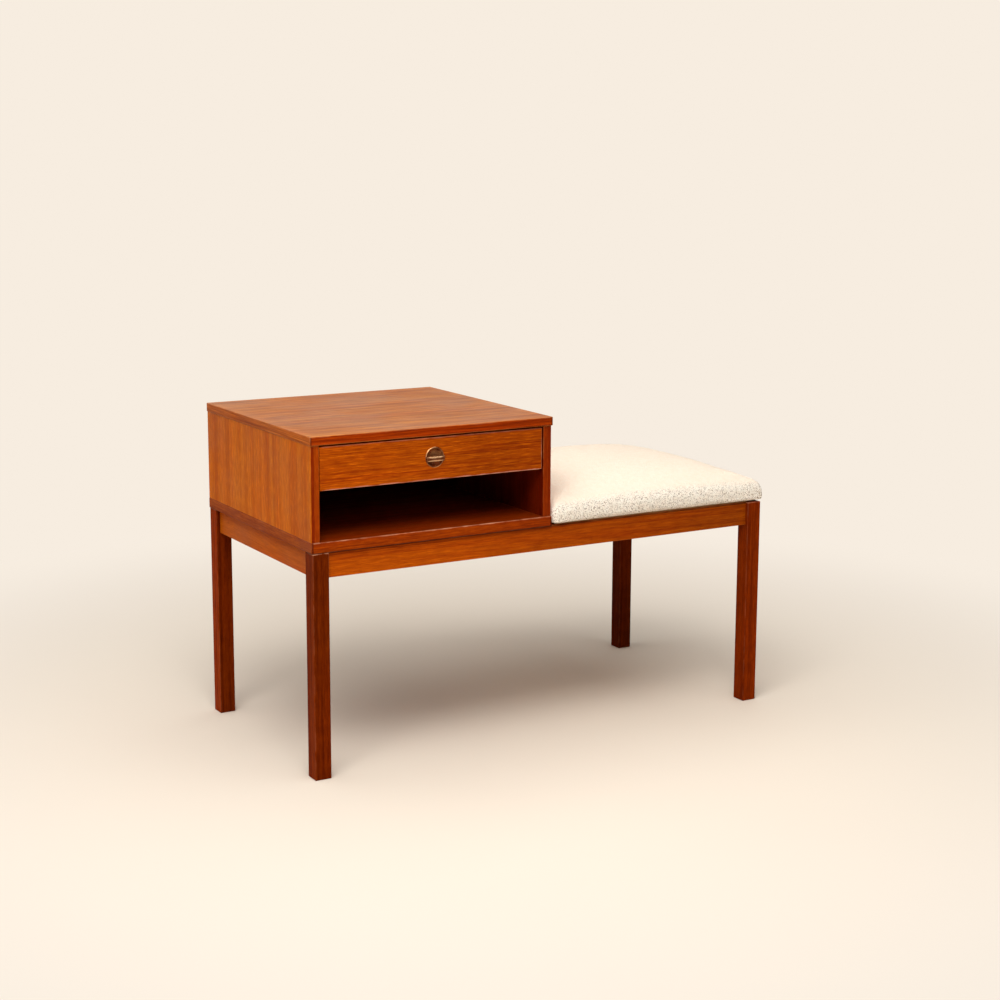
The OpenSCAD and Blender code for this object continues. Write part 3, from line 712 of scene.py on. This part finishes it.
@dataclass(frozen=True)
class BrassFinish:
    """Aged brass: its bright, worn and tarnished colours, where the patina lies, and its painted light and
    shade.

    The metal is bright from bright_from outwards. The shares say how much darkening each cause adds: mottled
    patina, patina in the hollow and in the groove, painted shade on the bowl's lower part, its right side and
    the bar's ends, and painted shade on the rim that leaves two painted highlights, at the upper left and the
    lower right. groove_down is how far a dark groove lies below the middle.
    """

    bright: Rgb = (0.95, 0.50, 0.21)
    worn: Rgb = (0.90, 0.60, 0.34)
    aged: Rgb = (0.14, 0.024, 0.0015)
    bright_from: float = 17.4 * MM
    bright_fade: float = 0.6 * MM
    hollow: float = 0.19
    low_shade: Band = (-7 * MM, -1 * MM, 1.0, 0.0)
    low_shade_share: float = 0.8
    right_shade: Band = (-8 * MM, 10 * MM)
    right_shade_share: float = 0.42
    rim_highlight_slant: Band = (10 * MM, 21 * MM)
    rim_shade_share: float = 0.6
    groove_down: float = 0.0
    groove: Band = (1.1 * MM, 2.6 * MM, 0.80, 0.0)
    bar_end_shade: Band = (10 * MM, 16.5 * MM, 0.0, 0.7)
    cloud: Layer = Layer(70.0, 3.0, 0.55, (0.35, 0.7))
    cloud_share: float = 0.30
    spots: Layer = Layer(260.0, 5.0, 0.65)
    spot_band: Band = (0.45, 0.65)
    spot_share: float = 0.22
    lines: Layer = Layer((90.0, 2600.0, 2600.0), 2.0, 0.6)
    line_band: Band = (0.55, 0.7)
    line_share: float = 0.35
    film: float = -0.05
    gloss: float = 0.20
    dull: float = 0.22
    line_rough: float = 0.12
    aged_metal: float = 0.86
    flat: Point = (1.0, 0.0, 1.0)
    relief_share: float = 0.5
    relief: float = 0.04 * MM

    def tarnish_and_painted_light(self, graph: Graph, shift: Socket, cloud: Socket, spots: Socket) -> Socket:
        """Finds the patina and the painted light and shade.

        Args:
            graph: Graph of the material.
            shift: Place from the middle of the pull.
            cloud: Large mottle.
            spots: Fine mottle.

        Returns:
            0 on bright metal, 1 on metal that is dark all over.
        """
        right, _, up = graph.split(shift)
        from_middle = graph.measure("LENGTH", graph.vector("MULTIPLY", shift, self.flat))
        deep = graph.ramp(from_middle, self.bright_from - self.bright_fade, self.bright_from, 1.0, 0.0)
        total = graph.plus(graph.times(deep, self.hollow), graph.times(cloud, self.cloud_share))
        total = graph.plus(total, graph.times(graph.ramp(spots, *self.spot_band), self.spot_share))
        # Painted shade on the lower part of the bowl.
        low_shade = graph.times(graph.ramp(up, *self.low_shade), deep)
        total = graph.plus(total, graph.times(low_shade, self.low_shade_share))
        # Painted shade towards the right side of the pull.
        total = graph.plus(total, graph.ramp(right, *self.right_shade, 0.0, self.right_shade_share))
        # Painted shade on the rim, except two painted highlights at the upper left and the lower right.
        slant = graph.math("ABSOLUTE", graph.less(up, right), 0.0)
        rim = graph.ramp(slant, *self.rim_highlight_slant, self.rim_shade_share, 0.0)
        total = graph.plus(total, graph.times(rim, graph.less(1.0, deep)))
        if self.groove_down:
            off_groove = graph.math("ABSOLUTE", graph.plus(up, self.groove_down), 0.0)
            # Painted shade on the bar's ends; the darkening in the groove is patina.
            ends = graph.ramp(graph.math("ABSOLUTE", right, 0.0), *self.bar_end_shade)
            total = graph.plus(total, graph.plus(graph.ramp(off_groove, *self.groove), ends))
        return graph.math("ADD", total, self.film, clamp=True)

    def material(self, name: str, centre: Vector) -> Material:
        """Makes the material, dark in the hollow, with painted shade and highlights, and bright where fingers
        rub it.

        Args:
            name: Name of the material.
            centre: Middle of the pull, on the face of the drawer.

        Returns:
            The material.
        """
        skin = Skin(name)
        graph = skin.graph
        shift = graph.vector("SUBTRACT", skin.place, tuple(centre))
        spots = graph.layer(skin.place, self.spots)
        lines = graph.layer(shift, self.lines)
        tarnish_and_painted_light = self.tarnish_and_painted_light(graph, shift, graph.layer(skin.place, self.cloud), spots)
        worn = graph.times(graph.ramp(lines, *self.line_band), self.line_share)
        rough = graph.plus(graph.ramp(tarnish_and_painted_light, 0.0, 1.0, self.gloss, self.gloss + self.dull),
                           graph.times(lines, self.line_rough))
        values = {"Base Color": graph.mix(worn, graph.mix(tarnish_and_painted_light, self.bright, self.aged), self.worn),
                  "Metallic": graph.ramp(tarnish_and_painted_light, 0.0, 1.0, 1.0, self.aged_metal), "Roughness": rough}
        height = graph.times(graph.plus(lines, spots), self.relief_share)
        return skin.complete(values, height, self.relief)


@dataclass(frozen=True)
class SteelFinish:
    """Dull zinc-plated steel with a mottled film."""

    light: Rgb = (0.62, 0.60, 0.54)
    dark: Rgb = (0.36, 0.35, 0.33)
    mottle: Layer = Layer(420.0, 4.0, 0.6)
    colour_band: Band = (0.35, 0.65)
    rough_band: Band = (0.3, 0.7, 0.30, 0.55)
    relief: float = 0.03 * MM

    def material(self, name: str) -> Material:
        """Makes the material.

        Args:
            name: Name of the material.

        Returns:
            The material.
        """
        skin = Skin(name)
        mottle = skin.graph.layer(skin.place, self.mottle)
        colour = skin.graph.mix(skin.graph.ramp(mottle, *self.colour_band), self.light, self.dark)
        rough = skin.graph.ramp(mottle, *self.rough_band)
        return skin.complete({"Base Color": colour, "Metallic": 1.0, "Roughness": rough}, mottle, self.relief)


@dataclass(frozen=True)
class WoolFinish:
    """Looped wool: colours of the yarn, of the painted shade in the gaps between the loops, and of the
    flecks, dark specks of yarn that also stand for shade between the loops.

    top is a darker painted tint on the wool that faces up, where the painted gap shade and the flecks show
    little; on the faces that look aside they show fully, as shade between the loops.
    """

    yarn: Rgb = (1.0, 0.95, 0.85)
    second: Rgb = (1.0, 0.91, 0.79)
    top: Rgb = (0.915, 0.825, 0.755)
    gap_shade: Rgb = (0.74, 0.64, 0.53)
    fleck: Rgb = (0.25, 0.155, 0.09)
    loop: float = 2.8 * MM
    gap_share: float = 0.15
    fleck_share: float = 0.9
    open_from: Band = (0.40, 0.93)
    open_share: float = 0.08
    yarn_band: Band = (0.3, 0.7)
    rough_band: Band = (0.2, 0.8, 0.98, 0.84)
    shine: float = 0.18
    sheen: float = 0.12
    sheen_rough: float = 0.6
    relief: float = 1.1 * MM

    def material(self, name: str, loops: NodeTree) -> Material:
        """Makes the material of the seat's cover.

        Args:
            name: Name of the material.
            loops: The shared group of looped yarn.

        Returns:
            The material.
        """
        skin = Skin(name)
        graph = skin.graph
        yarn = skin.use(loops, {"Vector": skin.place, "Loops": 1.0 / self.loop})
        # Painted light: faces that look up take the darker top tint and show little of the painted gap shade
        # and flecks; faces that look aside show them fully.
        deep = graph.ramp(graph.split(graph.normal())[2], *self.open_from, 1.0, self.open_share)
        colour = graph.mix(graph.ramp(yarn["Tone"], *self.yarn_band), self.yarn, self.second)
        colour = graph.mix(deep, graph.tint(colour, self.top), colour)
        # gap_shade paints shade between the loops; the flecks are dark yarn and painted shade.
        layers = (("Gap", self.gap_share, self.gap_shade), ("Fleck", self.fleck_share, self.fleck))
        for mask, share, shade in layers:
            colour = graph.mix(graph.times(yarn[mask], graph.times(deep, share)), colour, shade)
        values = {"Base Color": colour, "Roughness": graph.ramp(yarn["Height"], *self.rough_band),
                  "Specular IOR Level": self.shine, "Sheen Weight": self.sheen,
                  "Sheen Roughness": self.sheen_rough}
        return skin.complete(values, yarn["Height"], self.relief)


class Workshop:
    """Holds the shared shader groups and dresses the nodes of the frame."""

    def __init__(self) -> None:
        """Builds the shared groups once."""
        self.timber = TimberGrain().tree
        self.zones = BoardZones().tree
        self.handling = Handling().tree
        self.loops = LoopedYarn().tree

    def dress(self, node: str, material: Material) -> None:
        """Gives a node of the frame its material.

        Args:
            node: Name of the node.
            material: The material.
        """
        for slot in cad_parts[node].material_slots:
            slot.material = material
        LOG.info("dressed %s in %s", node, material.name)

    def dress_boards(self, boards: list[Board]) -> None:
        """Gives each board its own wood."""
        for board in boards:
            self.dress(board.node, WoodSkin(self, board).build())


TEAK_FRONT = WoodFinish(
    light=(0.45, 0.083, 0.001), dark=(0.24, 0.022, 0.0003), pore=(0.13, 0.009, 0.0003),
    rubbed=(0.85, 0.40, 0.28), ring_width=6 * MM, wander=6 * MM, rings=0.45, streaks=0.8, ripple=0.2,
    glints=0.31, fleck_scale=(30.0, 520.0, 520.0), fibre_scale=(2.6, 210.0, 210.0), rub=0.25,
    rub_low=0.95, rub_width=2.6 * MM)
# TEAK_SIDE's inner paints shade on the side panels' faces inside the cabinet.
TEAK_SIDE = WoodFinish(
    light=(0.585, 0.146, 0.004), dark=(0.41, 0.068, 0.001), pore=(0.25, 0.034, 0.0005),
    rubbed=(0.50, 0.16, 0.04), strip=(0.58, 0.315, 0.2), outer=(0.67, 0.42, 0.07), inner=(0.27, 0.09, 0.2),
    ring_width=26 * MM, wander=20 * MM, streaks=0.3, ripple=0.3, pores=0.25, flecks=0.2,
    fleck_scale=(55.0, 330.0, 330.0), fibre_scale=(4.0, 120.0, 120.0))
TEAK_SIDE_RIGHT = replace(TEAK_SIDE, strip=(0.50, 0.27, 0.12), outer=(0.84, 0.70, 0.4))
# TEAK_TOP's margin paints sheen near the edges of the top board.
TEAK_TOP = WoodFinish(
    light=(0.37, 0.110, 0.007), dark=(0.22, 0.052, 0.003), pore=(0.10, 0.012, 0.001),
    rubbed=(0.50, 0.21, 0.10), strip=(0.80, 0.30, 0.08), lip=(1.10, 0.90, 1.40), ring_width=13 * MM,
    wander=18 * MM, rings=0.35, streaks=0.7, flecks=0.4, glints=0.23, fleck_scale=(11.0, 130.0, 480.0),
    fibre_scale=(2.5, 80.0, 260.0), margin=0.22, gloss=0.40, shine=0.03, wax_top=0.30, rub=0.4,
    rub_width=3 * MM, patina=0.03)
TEAK_BASE = WoodFinish(
    light=(0.205, 0.025, 0.0005), dark=(0.117, 0.0105, 0.0003), pore=(0.08, 0.006, 0.0003),
    rubbed=(0.66, 0.30, 0.17), strip=(1.66, 1.85, 0.9), lip=(1.64, 2.55, 6.0), ring_width=9 * MM,
    wander=12 * MM, streaks=0.7, glints=0.18, fleck_scale=(40.0, 300.0, 480.0), rub=0.75)
TEAK_BACK = WoodFinish(
    light=(0.17, 0.022, 0.002), dark=(0.085, 0.009, 0.001), pore=(0.05, 0.004, 0.0005),
    rubbed=(0.20, 0.03, 0.004), ring_width=8 * MM, wander=14 * MM, shine=0.0)
TEAK_RAIL = WoodFinish(
    light=(0.45, 0.080, 0.001), dark=(0.29, 0.036, 0.0005), pore=(0.14, 0.012, 0.0003),
    rubbed=(0.50, 0.16, 0.04), ring_width=9 * MM, wander=12 * MM, rings=0.5, ripple=0.3, flecks=0.22,
    glints=0.16, fleck_scale=(28.0, 420.0, 420.0), rub_low=0.3)
TEAK_RAIL_CALM = replace(
    TEAK_RAIL, light=(0.46, 0.095, 0.003), dark=(0.37, 0.062, 0.0015), rings=0.35, streaks=0.4,
    flecks=0.12, glints=0.08)
TEAK_LEG = WoodFinish(
    light=(0.196, 0.0245, 0.0006), dark=(0.079, 0.0060, 0.0002), pore=(0.05, 0.004, 0.0002),
    rubbed=(0.58, 0.26, 0.15), ring_width=9 * MM, wander=14 * MM, rings=0.5, ripple=0.7, flecks=0.2,
    glints=0.16, fleck_scale=(50.0, 420.0, 420.0), rub=0.12, rub_low=0.12, rub_top=0.9, shine=0.008)
BIRCH = WoodFinish(
    light=(0.62, 0.43, 0.24), dark=(0.46, 0.28, 0.13), pore=(0.34, 0.20, 0.09),
    rubbed=(0.66, 0.48, 0.29), ring_width=8 * MM, wander=14 * MM, rings=0.4, streaks=0.35, pores=0.2,
    flecks=0.10, glints=0.06, fleck_scale=(18.0, 420.0, 420.0), gloss=0.6, shine=0.2, rub=0.2)
ZINC = SteelFinish()


def clear_selection() -> None:
    """Deselects every object, because the loaded nodes come selected."""
    bpy.ops.object.select_all(action="DESELECT")


def choose(piece: Piece) -> None:
    """Makes one object the only selected and active one.

    Args:
        piece: The object.
    """
    clear_selection()
    piece.select_set(True)
    bpy.context.view_layer.objects.active = piece


def finish_modifier(piece: Piece, kind: str, **settings: object) -> None:
    """Adds a modifier and applies it.

    Args:
        piece: The object.
        kind: Blender's name of the modifier.
        settings: Its properties.
    """
    choose(piece)
    bpy.ops.object.modifier_add(type=kind)
    made = piece.modifiers[-1]
    adjust(made, **settings)
    bpy.ops.object.modifier_apply(modifier=made.name)


@dataclass
class LegFrame:
    """Legs, aprons, cross rail, corner blocks and screws that carry the bench."""

    leg: WoodFinish = TEAK_LEG
    rail: WoodFinish = TEAK_RAIL
    calm_rail: WoodFinish = TEAK_RAIL_CALM
    hidden: WoodFinish = BIRCH

    def boards(self) -> list[Board]:
        """Lists the wooden nodes.

        Returns:
            The boards of the frame.
        """
        up, side, deep = Grain.ALONG_Z, Grain.ALONG_X, Grain.ALONG_Y
        # Heart, tone and side light of each leg. The tones are painted light and shade: lighter on the front
        # right leg, darker on the back legs and towards the top of the front left leg. side_painted_light
        # paints light and shade on the faces that look to -X.
        legs = {
            "front_left": ((0.4, 0.05, 0.06), (0.90, 0.74), 1.33),
            "front_right": ((1.3, 0.03, 0.09), (1.2, 1.2), 0.9),
            "back_left": ((2.2, 0.07, -0.05), (0.8, 0.8), 2.1),
            "back_right": ((3.6, -0.06, 0.08), (0.62, 0.62), 1.0),
        }
        made = [
            Board("leg_" + place, self.leg, up, Face.X, heart, tone=tone, side_painted_light=side_painted_light)
            for place, (heart, tone, side_painted_light) in legs.items()]
        made += [
            Board("corner_block_" + place, self.hidden, up, Face.Z, (0.7 * step, 0.05, 0.08))
            for step, place in enumerate(legs, 1)]
        return made + [
            # shade_top paints a shadow line along the top of the apron's front, under the base board and the
            # seat pad.
            Board("apron_front", self.rail, side, Face.Y, (0.9, 0.05, 0.16), tone=(1.16, 0.72),
                  shade_top=0.25),
            Board("apron_back", self.rail, side, Face.Y, (2.1, 0.05, -0.15)),
            Board("apron_left", self.calm_rail, deep, Face.X, (1.6, 0.12, 0.23), tone=(1.08, 1.08)),
            Board("apron_right", self.rail, deep, Face.X, (2.9, -0.04, 0.17)),
            Board("cross_rail", self.hidden, deep, Face.Z, (0.5, 0.02, 0.09)),
        ]

    def build(self, shop: Workshop) -> None:
        """Dresses the nodes of the frame."""
        shop.dress_boards(self.boards())
        shop.dress("frame_screws", ZINC.material("frame_screw_zinc"))


@dataclass
class Cabinet:
    """Base, sides, top and back of the cabinet, with its dowels and runners."""

    top: WoodFinish = TEAK_TOP
    side: WoodFinish = TEAK_SIDE
    side_right: WoodFinish = TEAK_SIDE_RIGHT
    base: WoodFinish = TEAK_BASE
    back: WoodFinish = TEAK_BACK
    hidden: WoodFinish = BIRCH

    def boards(self) -> list[Board]:
        """Lists the wooden nodes.

        Returns:
            The boards of the cabinet.
        """
        up, side, deep = Grain.ALONG_Z, Grain.ALONG_X, Grain.ALONG_Y
        return [
            Board("top_board", self.top, side, Face.Z, (0.6, 0.15, 0.09), lipped=True),
            # shade_low paints a shadow line along the lower edge of the base board's front.
            Board("base_board", self.base, side, Face.Z, (1.9, 0.17, 0.08), lipped=True, shade_low=0.4,
                  end_wear=0.15),
            Board("side_panel_left", self.side, up, Face.X, (0.5, 0.24, 0.10), outer=-1),
            Board("side_panel_right", self.side_right, up, Face.X, (1.7, -0.21, 0.09), outer=1),
            # side_painted_light paints shade on the back panel's face inside the niche.
            Board("back_panel", self.back, up, Face.Y, (2.4, 0.10, 0.12), side=TO_FRONT, side_painted_light=0.22),
            Board("runner_left", self.hidden, deep, Face.X, (0.4, 0.04, 0.07)),
            Board("runner_right", self.hidden, deep, Face.X, (1.4, 0.04, 0.07)),
            Board("cabinet_dowels", self.hidden, up, Face.Y, (0.2, 0.05, 0.06)),
        ]

    def build(self, shop: Workshop) -> None:
        """Dresses the nodes of the cabinet."""
        shop.dress_boards(self.boards())
        shop.dress("runner_screws", ZINC.material("runner_screw_zinc"))


@dataclass
class Drawer:
    """Drawer front, its box and the recessed brass pull."""

    front: WoodFinish = TEAK_FRONT
    box: WoodFinish = BIRCH
    cup: BrassFinish = BrassFinish()
    bar: BrassFinish = BrassFinish(bright=(0.84, 0.53, 0.28), bright_from=0.0, right_shade_share=0.1, rim_shade_share=0.0)

    def boards(self) -> list[Board]:
        """Lists the wooden nodes.

        Returns:
            The boards of the drawer.
        """
        side, deep = Grain.ALONG_X, Grain.ALONG_Y
        return [
            Board("drawer_front", self.front, side, Face.Y, (0.2, 0.03, 0.19), tone=(1.02, 0.84),
                  end_wear=0.0),
            Board("drawer_side_left", self.box, deep, Face.X, (0.8, 0.03, 0.12)),
            Board("drawer_side_right", self.box, deep, Face.X, (1.8, 0.03, -0.12)),
            Board("drawer_back", self.box, side, Face.Y, (2.8, 0.03, 0.12)),
            Board("drawer_bottom", self.box, side, Face.Z, (3.8, 0.12, 0.06)),
        ]

    def build(self, shop: Workshop) -> None:
        """Dresses the nodes of the drawer.

        Args:
            shop: Maker of the materials.
        """
        shop.dress_boards(self.boards())
        shop.dress("bottom_screws", ZINC.material("bottom_screw_zinc"))
        low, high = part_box("pull_cup")
        centre = Vector(((low.x + high.x) / 2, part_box("drawer_front")[0].y, (low.z + high.z) / 2))
        shop.dress("pull_cup", self.cup.material("pull_cup_brass", centre))
        bar_low, bar_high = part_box("pull_bar")
        bar = replace(self.bar, groove_down=centre.z - (bar_low.z + bar_high.z) / 2)
        shop.dress("pull_bar", bar.material("pull_bar_brass", centre))


@dataclass
class Seat:
    """Seat board and the stuffed pad with its looped wool cover."""

    cover: WoolFinish = WoolFinish()
    board: WoodFinish = BIRCH
    merge: float = 0.02 * MM
    voxel: float = 5.4 * MM
    ease: float = 1.6 * MM
    swell: float = 4.0 * MM
    sink: float = 0.3 * MM
    pressure: float = 4.0
    frames: int = 20
    lump: float = 1.2 * MM
    knot: float = 5.2 * MM
    knot_middle: float = 0.45
    tuft: float = 10 * MM
    tuft_middle: float = 0.5
    tuft_share: float = 0.8
    beside: float = 0.8 * MM
    above: float = 0.3 * MM
    held_height: float = 5 * MM

    def start(self) -> Piece:
        """Copies the pad's form from the frame, merged and remeshed evenly.

        Returns:
            The pad before it is stuffed.
        """
        clear_selection()
        pad = bpy.data.objects.new("seat_pad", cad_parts["seat_foam"].data.copy())
        bpy.context.scene.collection.objects.link(pad)
        pad.data.materials.clear()
        choose(pad)
        bpy.ops.object.mode_set(mode="EDIT")
        bpy.ops.mesh.select_all(action="SELECT")
        bpy.ops.mesh.remove_doubles(threshold=self.merge)
        bpy.ops.mesh.normals_make_consistent(inside=False)
        bpy.ops.object.mode_set(mode="OBJECT")
        finish_modifier(pad, "REMESH", mode="VOXEL", voxel_size=self.voxel, adaptivity=0.0)
        return pad

    def mark(self, pad: Piece, held: bool) -> str:
        """Marks the points that stay, on the underside and round the seat board, or all the others.

        Args:
            pad: The pad.
            held: Whether the points that stay are marked, or the free ones.

        Returns:
            Name of the new vertex group.
        """
        low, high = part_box("seat_board")
        room = self.voxel
        chosen = []
        for vertex in pad.data.vertices:
            x, y, z = vertex.co
            within = low.x - room < x < high.x + room and low.y - room < y < high.y + room
            if (z < low.z + self.held_height or (within and z < high.z + room)) == held:
                chosen.append(vertex.index)
        pad.vertex_groups.clear()
        group = pad.vertex_groups.new(name="held" if held else "free")
        group.add(chosen, 1.0, "REPLACE")
        return group.name

    def stuff(self, pad: Piece) -> None:
        """Swells the pad with cloth simulation and keeps each point near its start.

        Args:
            pad: The pad.
        """
        starts = [vertex.co.copy() for vertex in pad.data.vertices]
        outward = [vertex.normal.copy() for vertex in pad.data.vertices]
        held = self.mark(pad, held=True)
        choose(pad)
        bpy.ops.object.modifier_add(type="CLOTH")
        cloth = pad.modifiers[-1]
        adjust(cloth.settings, quality=4, mass=0.15, tension_stiffness=12.0, compression_stiffness=12.0,
               bending_stiffness=0.8, use_pressure=True, uniform_pressure_force=self.pressure,
               vertex_group_mass=held)
        cloth.settings.effector_weights.gravity = 0.0
        adjust(cloth.point_cache, frame_start=1, frame_end=self.frames)
        scene = bpy.context.scene
        for step in range(1, self.frames + 1):
            scene.frame_set(step)
        bpy.ops.object.modifier_apply(modifier=cloth.name)
        scene.frame_set(1)
        for vertex, start, out in zip(pad.data.vertices, starts, outward):
            move = vertex.co - start
            if move.length > self.swell:
                move *= self.swell / move.length
            sunk = min(move.dot(out) + self.sink, 0.0)
            vertex.co = start + move - out * sunk
        pad.vertex_groups.clear()

    def roughen(self, pad: Piece) -> None:
        """Subdivides the pad and raises the loops of the wool on it.

        Args:
            pad: The pad.
        """
        finish_modifier(pad, "SUBSURF", levels=1, render_levels=1)
        knots = bpy.data.textures.new("wool_knots", "VORONOI")
        knots.noise_scale = self.knot
        tufts = bpy.data.textures.new("wool_tufts", "CLOUDS")
        adjust(tufts, noise_scale=self.tuft, noise_depth=1)
        free = self.mark(pad, held=False)
        moves = (
            (knots, -self.lump, self.knot_middle),
            (tufts, self.lump * self.tuft_share, self.tuft_middle),
        )
        for texture, strength, middle in moves:
            finish_modifier(pad, "DISPLACE", texture=texture, texture_coords="LOCAL", direction="NORMAL",
                            strength=strength, mid_level=middle, vertex_group=free)
        pad.vertex_groups.clear()

    def settle(self, pad: Piece) -> None:
        """Keeps the pad clear of the cabinet beside it and of the frame under it.

        Args:
            pad: The pad.
        """
        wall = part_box("side_panel_right")[1].x + self.beside
        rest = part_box("seat_board")[0].z + self.above
        for vertex in pad.data.vertices:
            vertex.co.x = max(vertex.co.x, wall)
            vertex.co.z = max(vertex.co.z, rest)
        pad.data.update()

    def build(self, shop: Workshop) -> None:
        """Args:
            shop: Maker of the materials.
        """
        pad = self.start()
        finish_modifier(pad, "DISPLACE", direction="NORMAL", strength=self.ease, mid_level=0.0,
                        vertex_group=self.mark(pad, held=False))
        self.stuff(pad)
        self.roughen(pad)
        self.settle(pad)
        choose(pad)
        bpy.ops.object.shade_smooth()
        pad.data.materials.append(self.cover.material("seat_wool", shop.loops))
        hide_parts("seat_foam", "seat_cover")
        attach(pad, "bench")
        shop.dress_boards([Board("seat_board", self.board, Grain.ALONG_X, Face.Z, (0.3, 0.14, 0.07))])
        LOG.info("made %s with %d faces", pad.name, len(pad.data.polygons))


@dataclass(frozen=True)
class Lamp:
    """One square soft box: its place, the point it faces, its width, power and colour."""

    name: str
    place: Point
    faces: Point
    size: float
    power: float
    colour: Rgb

    def light(self) -> None:
        """Adds the lamp."""
        aim = (Vector(self.faces) - Vector(self.place)).to_track_quat("-Z", "Y").to_euler()
        clear_selection()
        bpy.ops.object.light_add(type="AREA", location=self.place, rotation=aim)
        lamp = bpy.context.active_object
        lamp.name = self.name
        adjust(lamp.data, shape="RECTANGLE", size=self.size, size_y=self.size, energy=self.power,
               color=self.colour)


@dataclass
class Studio:
    """Pale floor, backdrop, soft boxes and the camera at the photograph's place."""

    backdrop: Rgb = (0.93, 0.845, 0.745)
    dim: Rgb = (0.20, 0.16, 0.12)
    dim_to_pale: Band = (-0.45, 0.35)
    floor: Rgb = (0.83, 0.735, 0.625)
    floor_mottle: Layer = Layer(2.5, 3.0, 0.5)
    floor_size: float = 120.0
    floor_tint: float = 0.97
    floor_rough: float = 0.75
    floor_shine: float = 0.2
    ambient: float = 0.10
    ambient_colour: Rgb = (1.0, 0.97, 0.93)
    fade: Band = (0.45, 1.75)
    lens: float = 65.347
    eye: Point = (-1.70896, -2.95422, 1.07816)
    yaw: float = 30.415
    pitch: float = -9.881
    roll: float = 0.223
    shift_up: float = -0.0399
    lamps: tuple[Lamp, ...] = (
        Lamp("ceiling_box", (-0.7, -0.9, 2.9), (-0.7, -0.9, 0.0), 5.0, 114.0, (1.0, 0.985, 0.96)),
        Lamp("key_box", (-1.35, -1.7, 2.85), (-0.1, 0.0, 0.4), 2.2, 74.0, (1.0, 0.98, 0.95)),
    )

    def set_camera(self) -> None:
        """Adds the camera and makes it the scene's."""
        yaw, pitch, roll = (math.radians(angle) for angle in (self.yaw, self.pitch, self.roll))
        ahead = Vector((math.sin(yaw) * math.cos(pitch), math.cos(yaw) * math.cos(pitch), math.sin(pitch)))
        right = Vector((math.cos(yaw), -math.sin(yaw), 0.0))
        up = right.cross(ahead)
        turned_right = right * math.cos(roll) + up * math.sin(roll)
        turned_up = up * math.cos(roll) - right * math.sin(roll)
        turn = Matrix((turned_right, turned_up, -ahead)).transposed()
        clear_selection()
        bpy.ops.object.camera_add(location=self.eye, rotation=turn.to_euler())
        camera = bpy.context.active_object
        camera.name = "photo_camera"
        adjust(camera.data, lens=self.lens, sensor_width=36.0, shift_y=self.shift_up, clip_start=0.05,
               clip_end=200.0)
        bpy.context.scene.camera = camera

    def seen_directly(self, graph: Graph) -> Socket:
        """Tells rays that see the background from rays that light the object.

        Args:
            graph: Graph of a material or the world.

        Returns:
            1 for camera, glossy and transmission rays, and 0 for the others.
        """
        path = graph.node("LightPath").outputs
        some = graph.math("MAXIMUM", path["Is Camera Ray"], path["Is Glossy Ray"])
        return graph.math("MAXIMUM", some, path["Is Transmission Ray"])

    def set_world(self) -> None:
        """Makes the world pale to look at, dim to mirror at the camera's side, and a plain weak light."""
        world = bpy.data.worlds.new("studio_air")
        world.use_nodes = True
        graph = Graph(world.node_tree)
        depth = graph.split(graph.node("TexCoord").outputs["Generated"])[1]
        mirrored = graph.mix(graph.ramp(depth, *self.dim_to_pale), self.dim, self.backdrop)
        glossy = graph.node("LightPath").outputs["Is Glossy Ray"]
        shown = graph.node("Background", {"Color": graph.mix(glossy, self.backdrop, mirrored)})
        light = graph.node("Background", {"Color": self.ambient_colour, "Strength": self.ambient})
        share = self.seen_directly(graph)
        both = graph.node("MixShader", {0: share, 1: light.outputs[0], 2: shown.outputs[0]})
        graph.node("OutputWorld", {"Surface": both.outputs[0]})
        bpy.context.scene.world = world

    def lay_floor(self) -> None:
        """Lays the pale floor, which fades into the backdrop far from the object."""
        clear_selection()
        bpy.ops.mesh.primitive_plane_add(size=self.floor_size, location=ORIGIN)
        floor = bpy.context.active_object
        floor.name = "studio_floor"
        material = bpy.data.materials.new("studio_floor_paint")
        material.use_nodes = True
        graph = Graph(material.node_tree)
        place = graph.node("TexCoord").outputs["Object"]
        far = graph.ramp(graph.measure("LENGTH", place), *self.fade)
        darker = tuple(self.floor_tint * part for part in self.floor)
        colour = graph.mix(graph.layer(place, self.floor_mottle), self.floor, darker)
        paint = graph.node("BsdfPrincipled", {"Base Color": colour, "Roughness": self.floor_rough,
                                              "Specular IOR Level": self.floor_shine})
        glow = graph.node("Emission", {"Color": self.backdrop})
        share = graph.times(far, self.seen_directly(graph))
        both = graph.node("MixShader", {0: share, 1: paint.outputs[0], 2: glow.outputs[0]})
        graph.node("OutputMaterial", {"Surface": both.outputs[0]})
        floor.data.materials.append(material)

    def build(self) -> None:
        """Sets the camera, the world, the floor and the lamps."""
        bpy.context.scene.view_settings.view_transform = "Standard"
        self.set_camera()
        self.set_world()
        self.lay_floor()
        for lamp in self.lamps:
            lamp.light()
        LOG.info("set up the studio with %d lamps", len(self.lamps))


def main() -> None:
    """Builds the bench's sub-assemblies in order and keeps its sizes."""
    logging.basicConfig(level=logging.INFO, format="%(message)s")
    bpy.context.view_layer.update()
    Studio().build()
    shop = Workshop()
    LegFrame().build(shop)
    Cabinet().build(shop)
    Drawer().build(shop)
    Seat().build(shop)


if __name__ == "__main__":
    main()
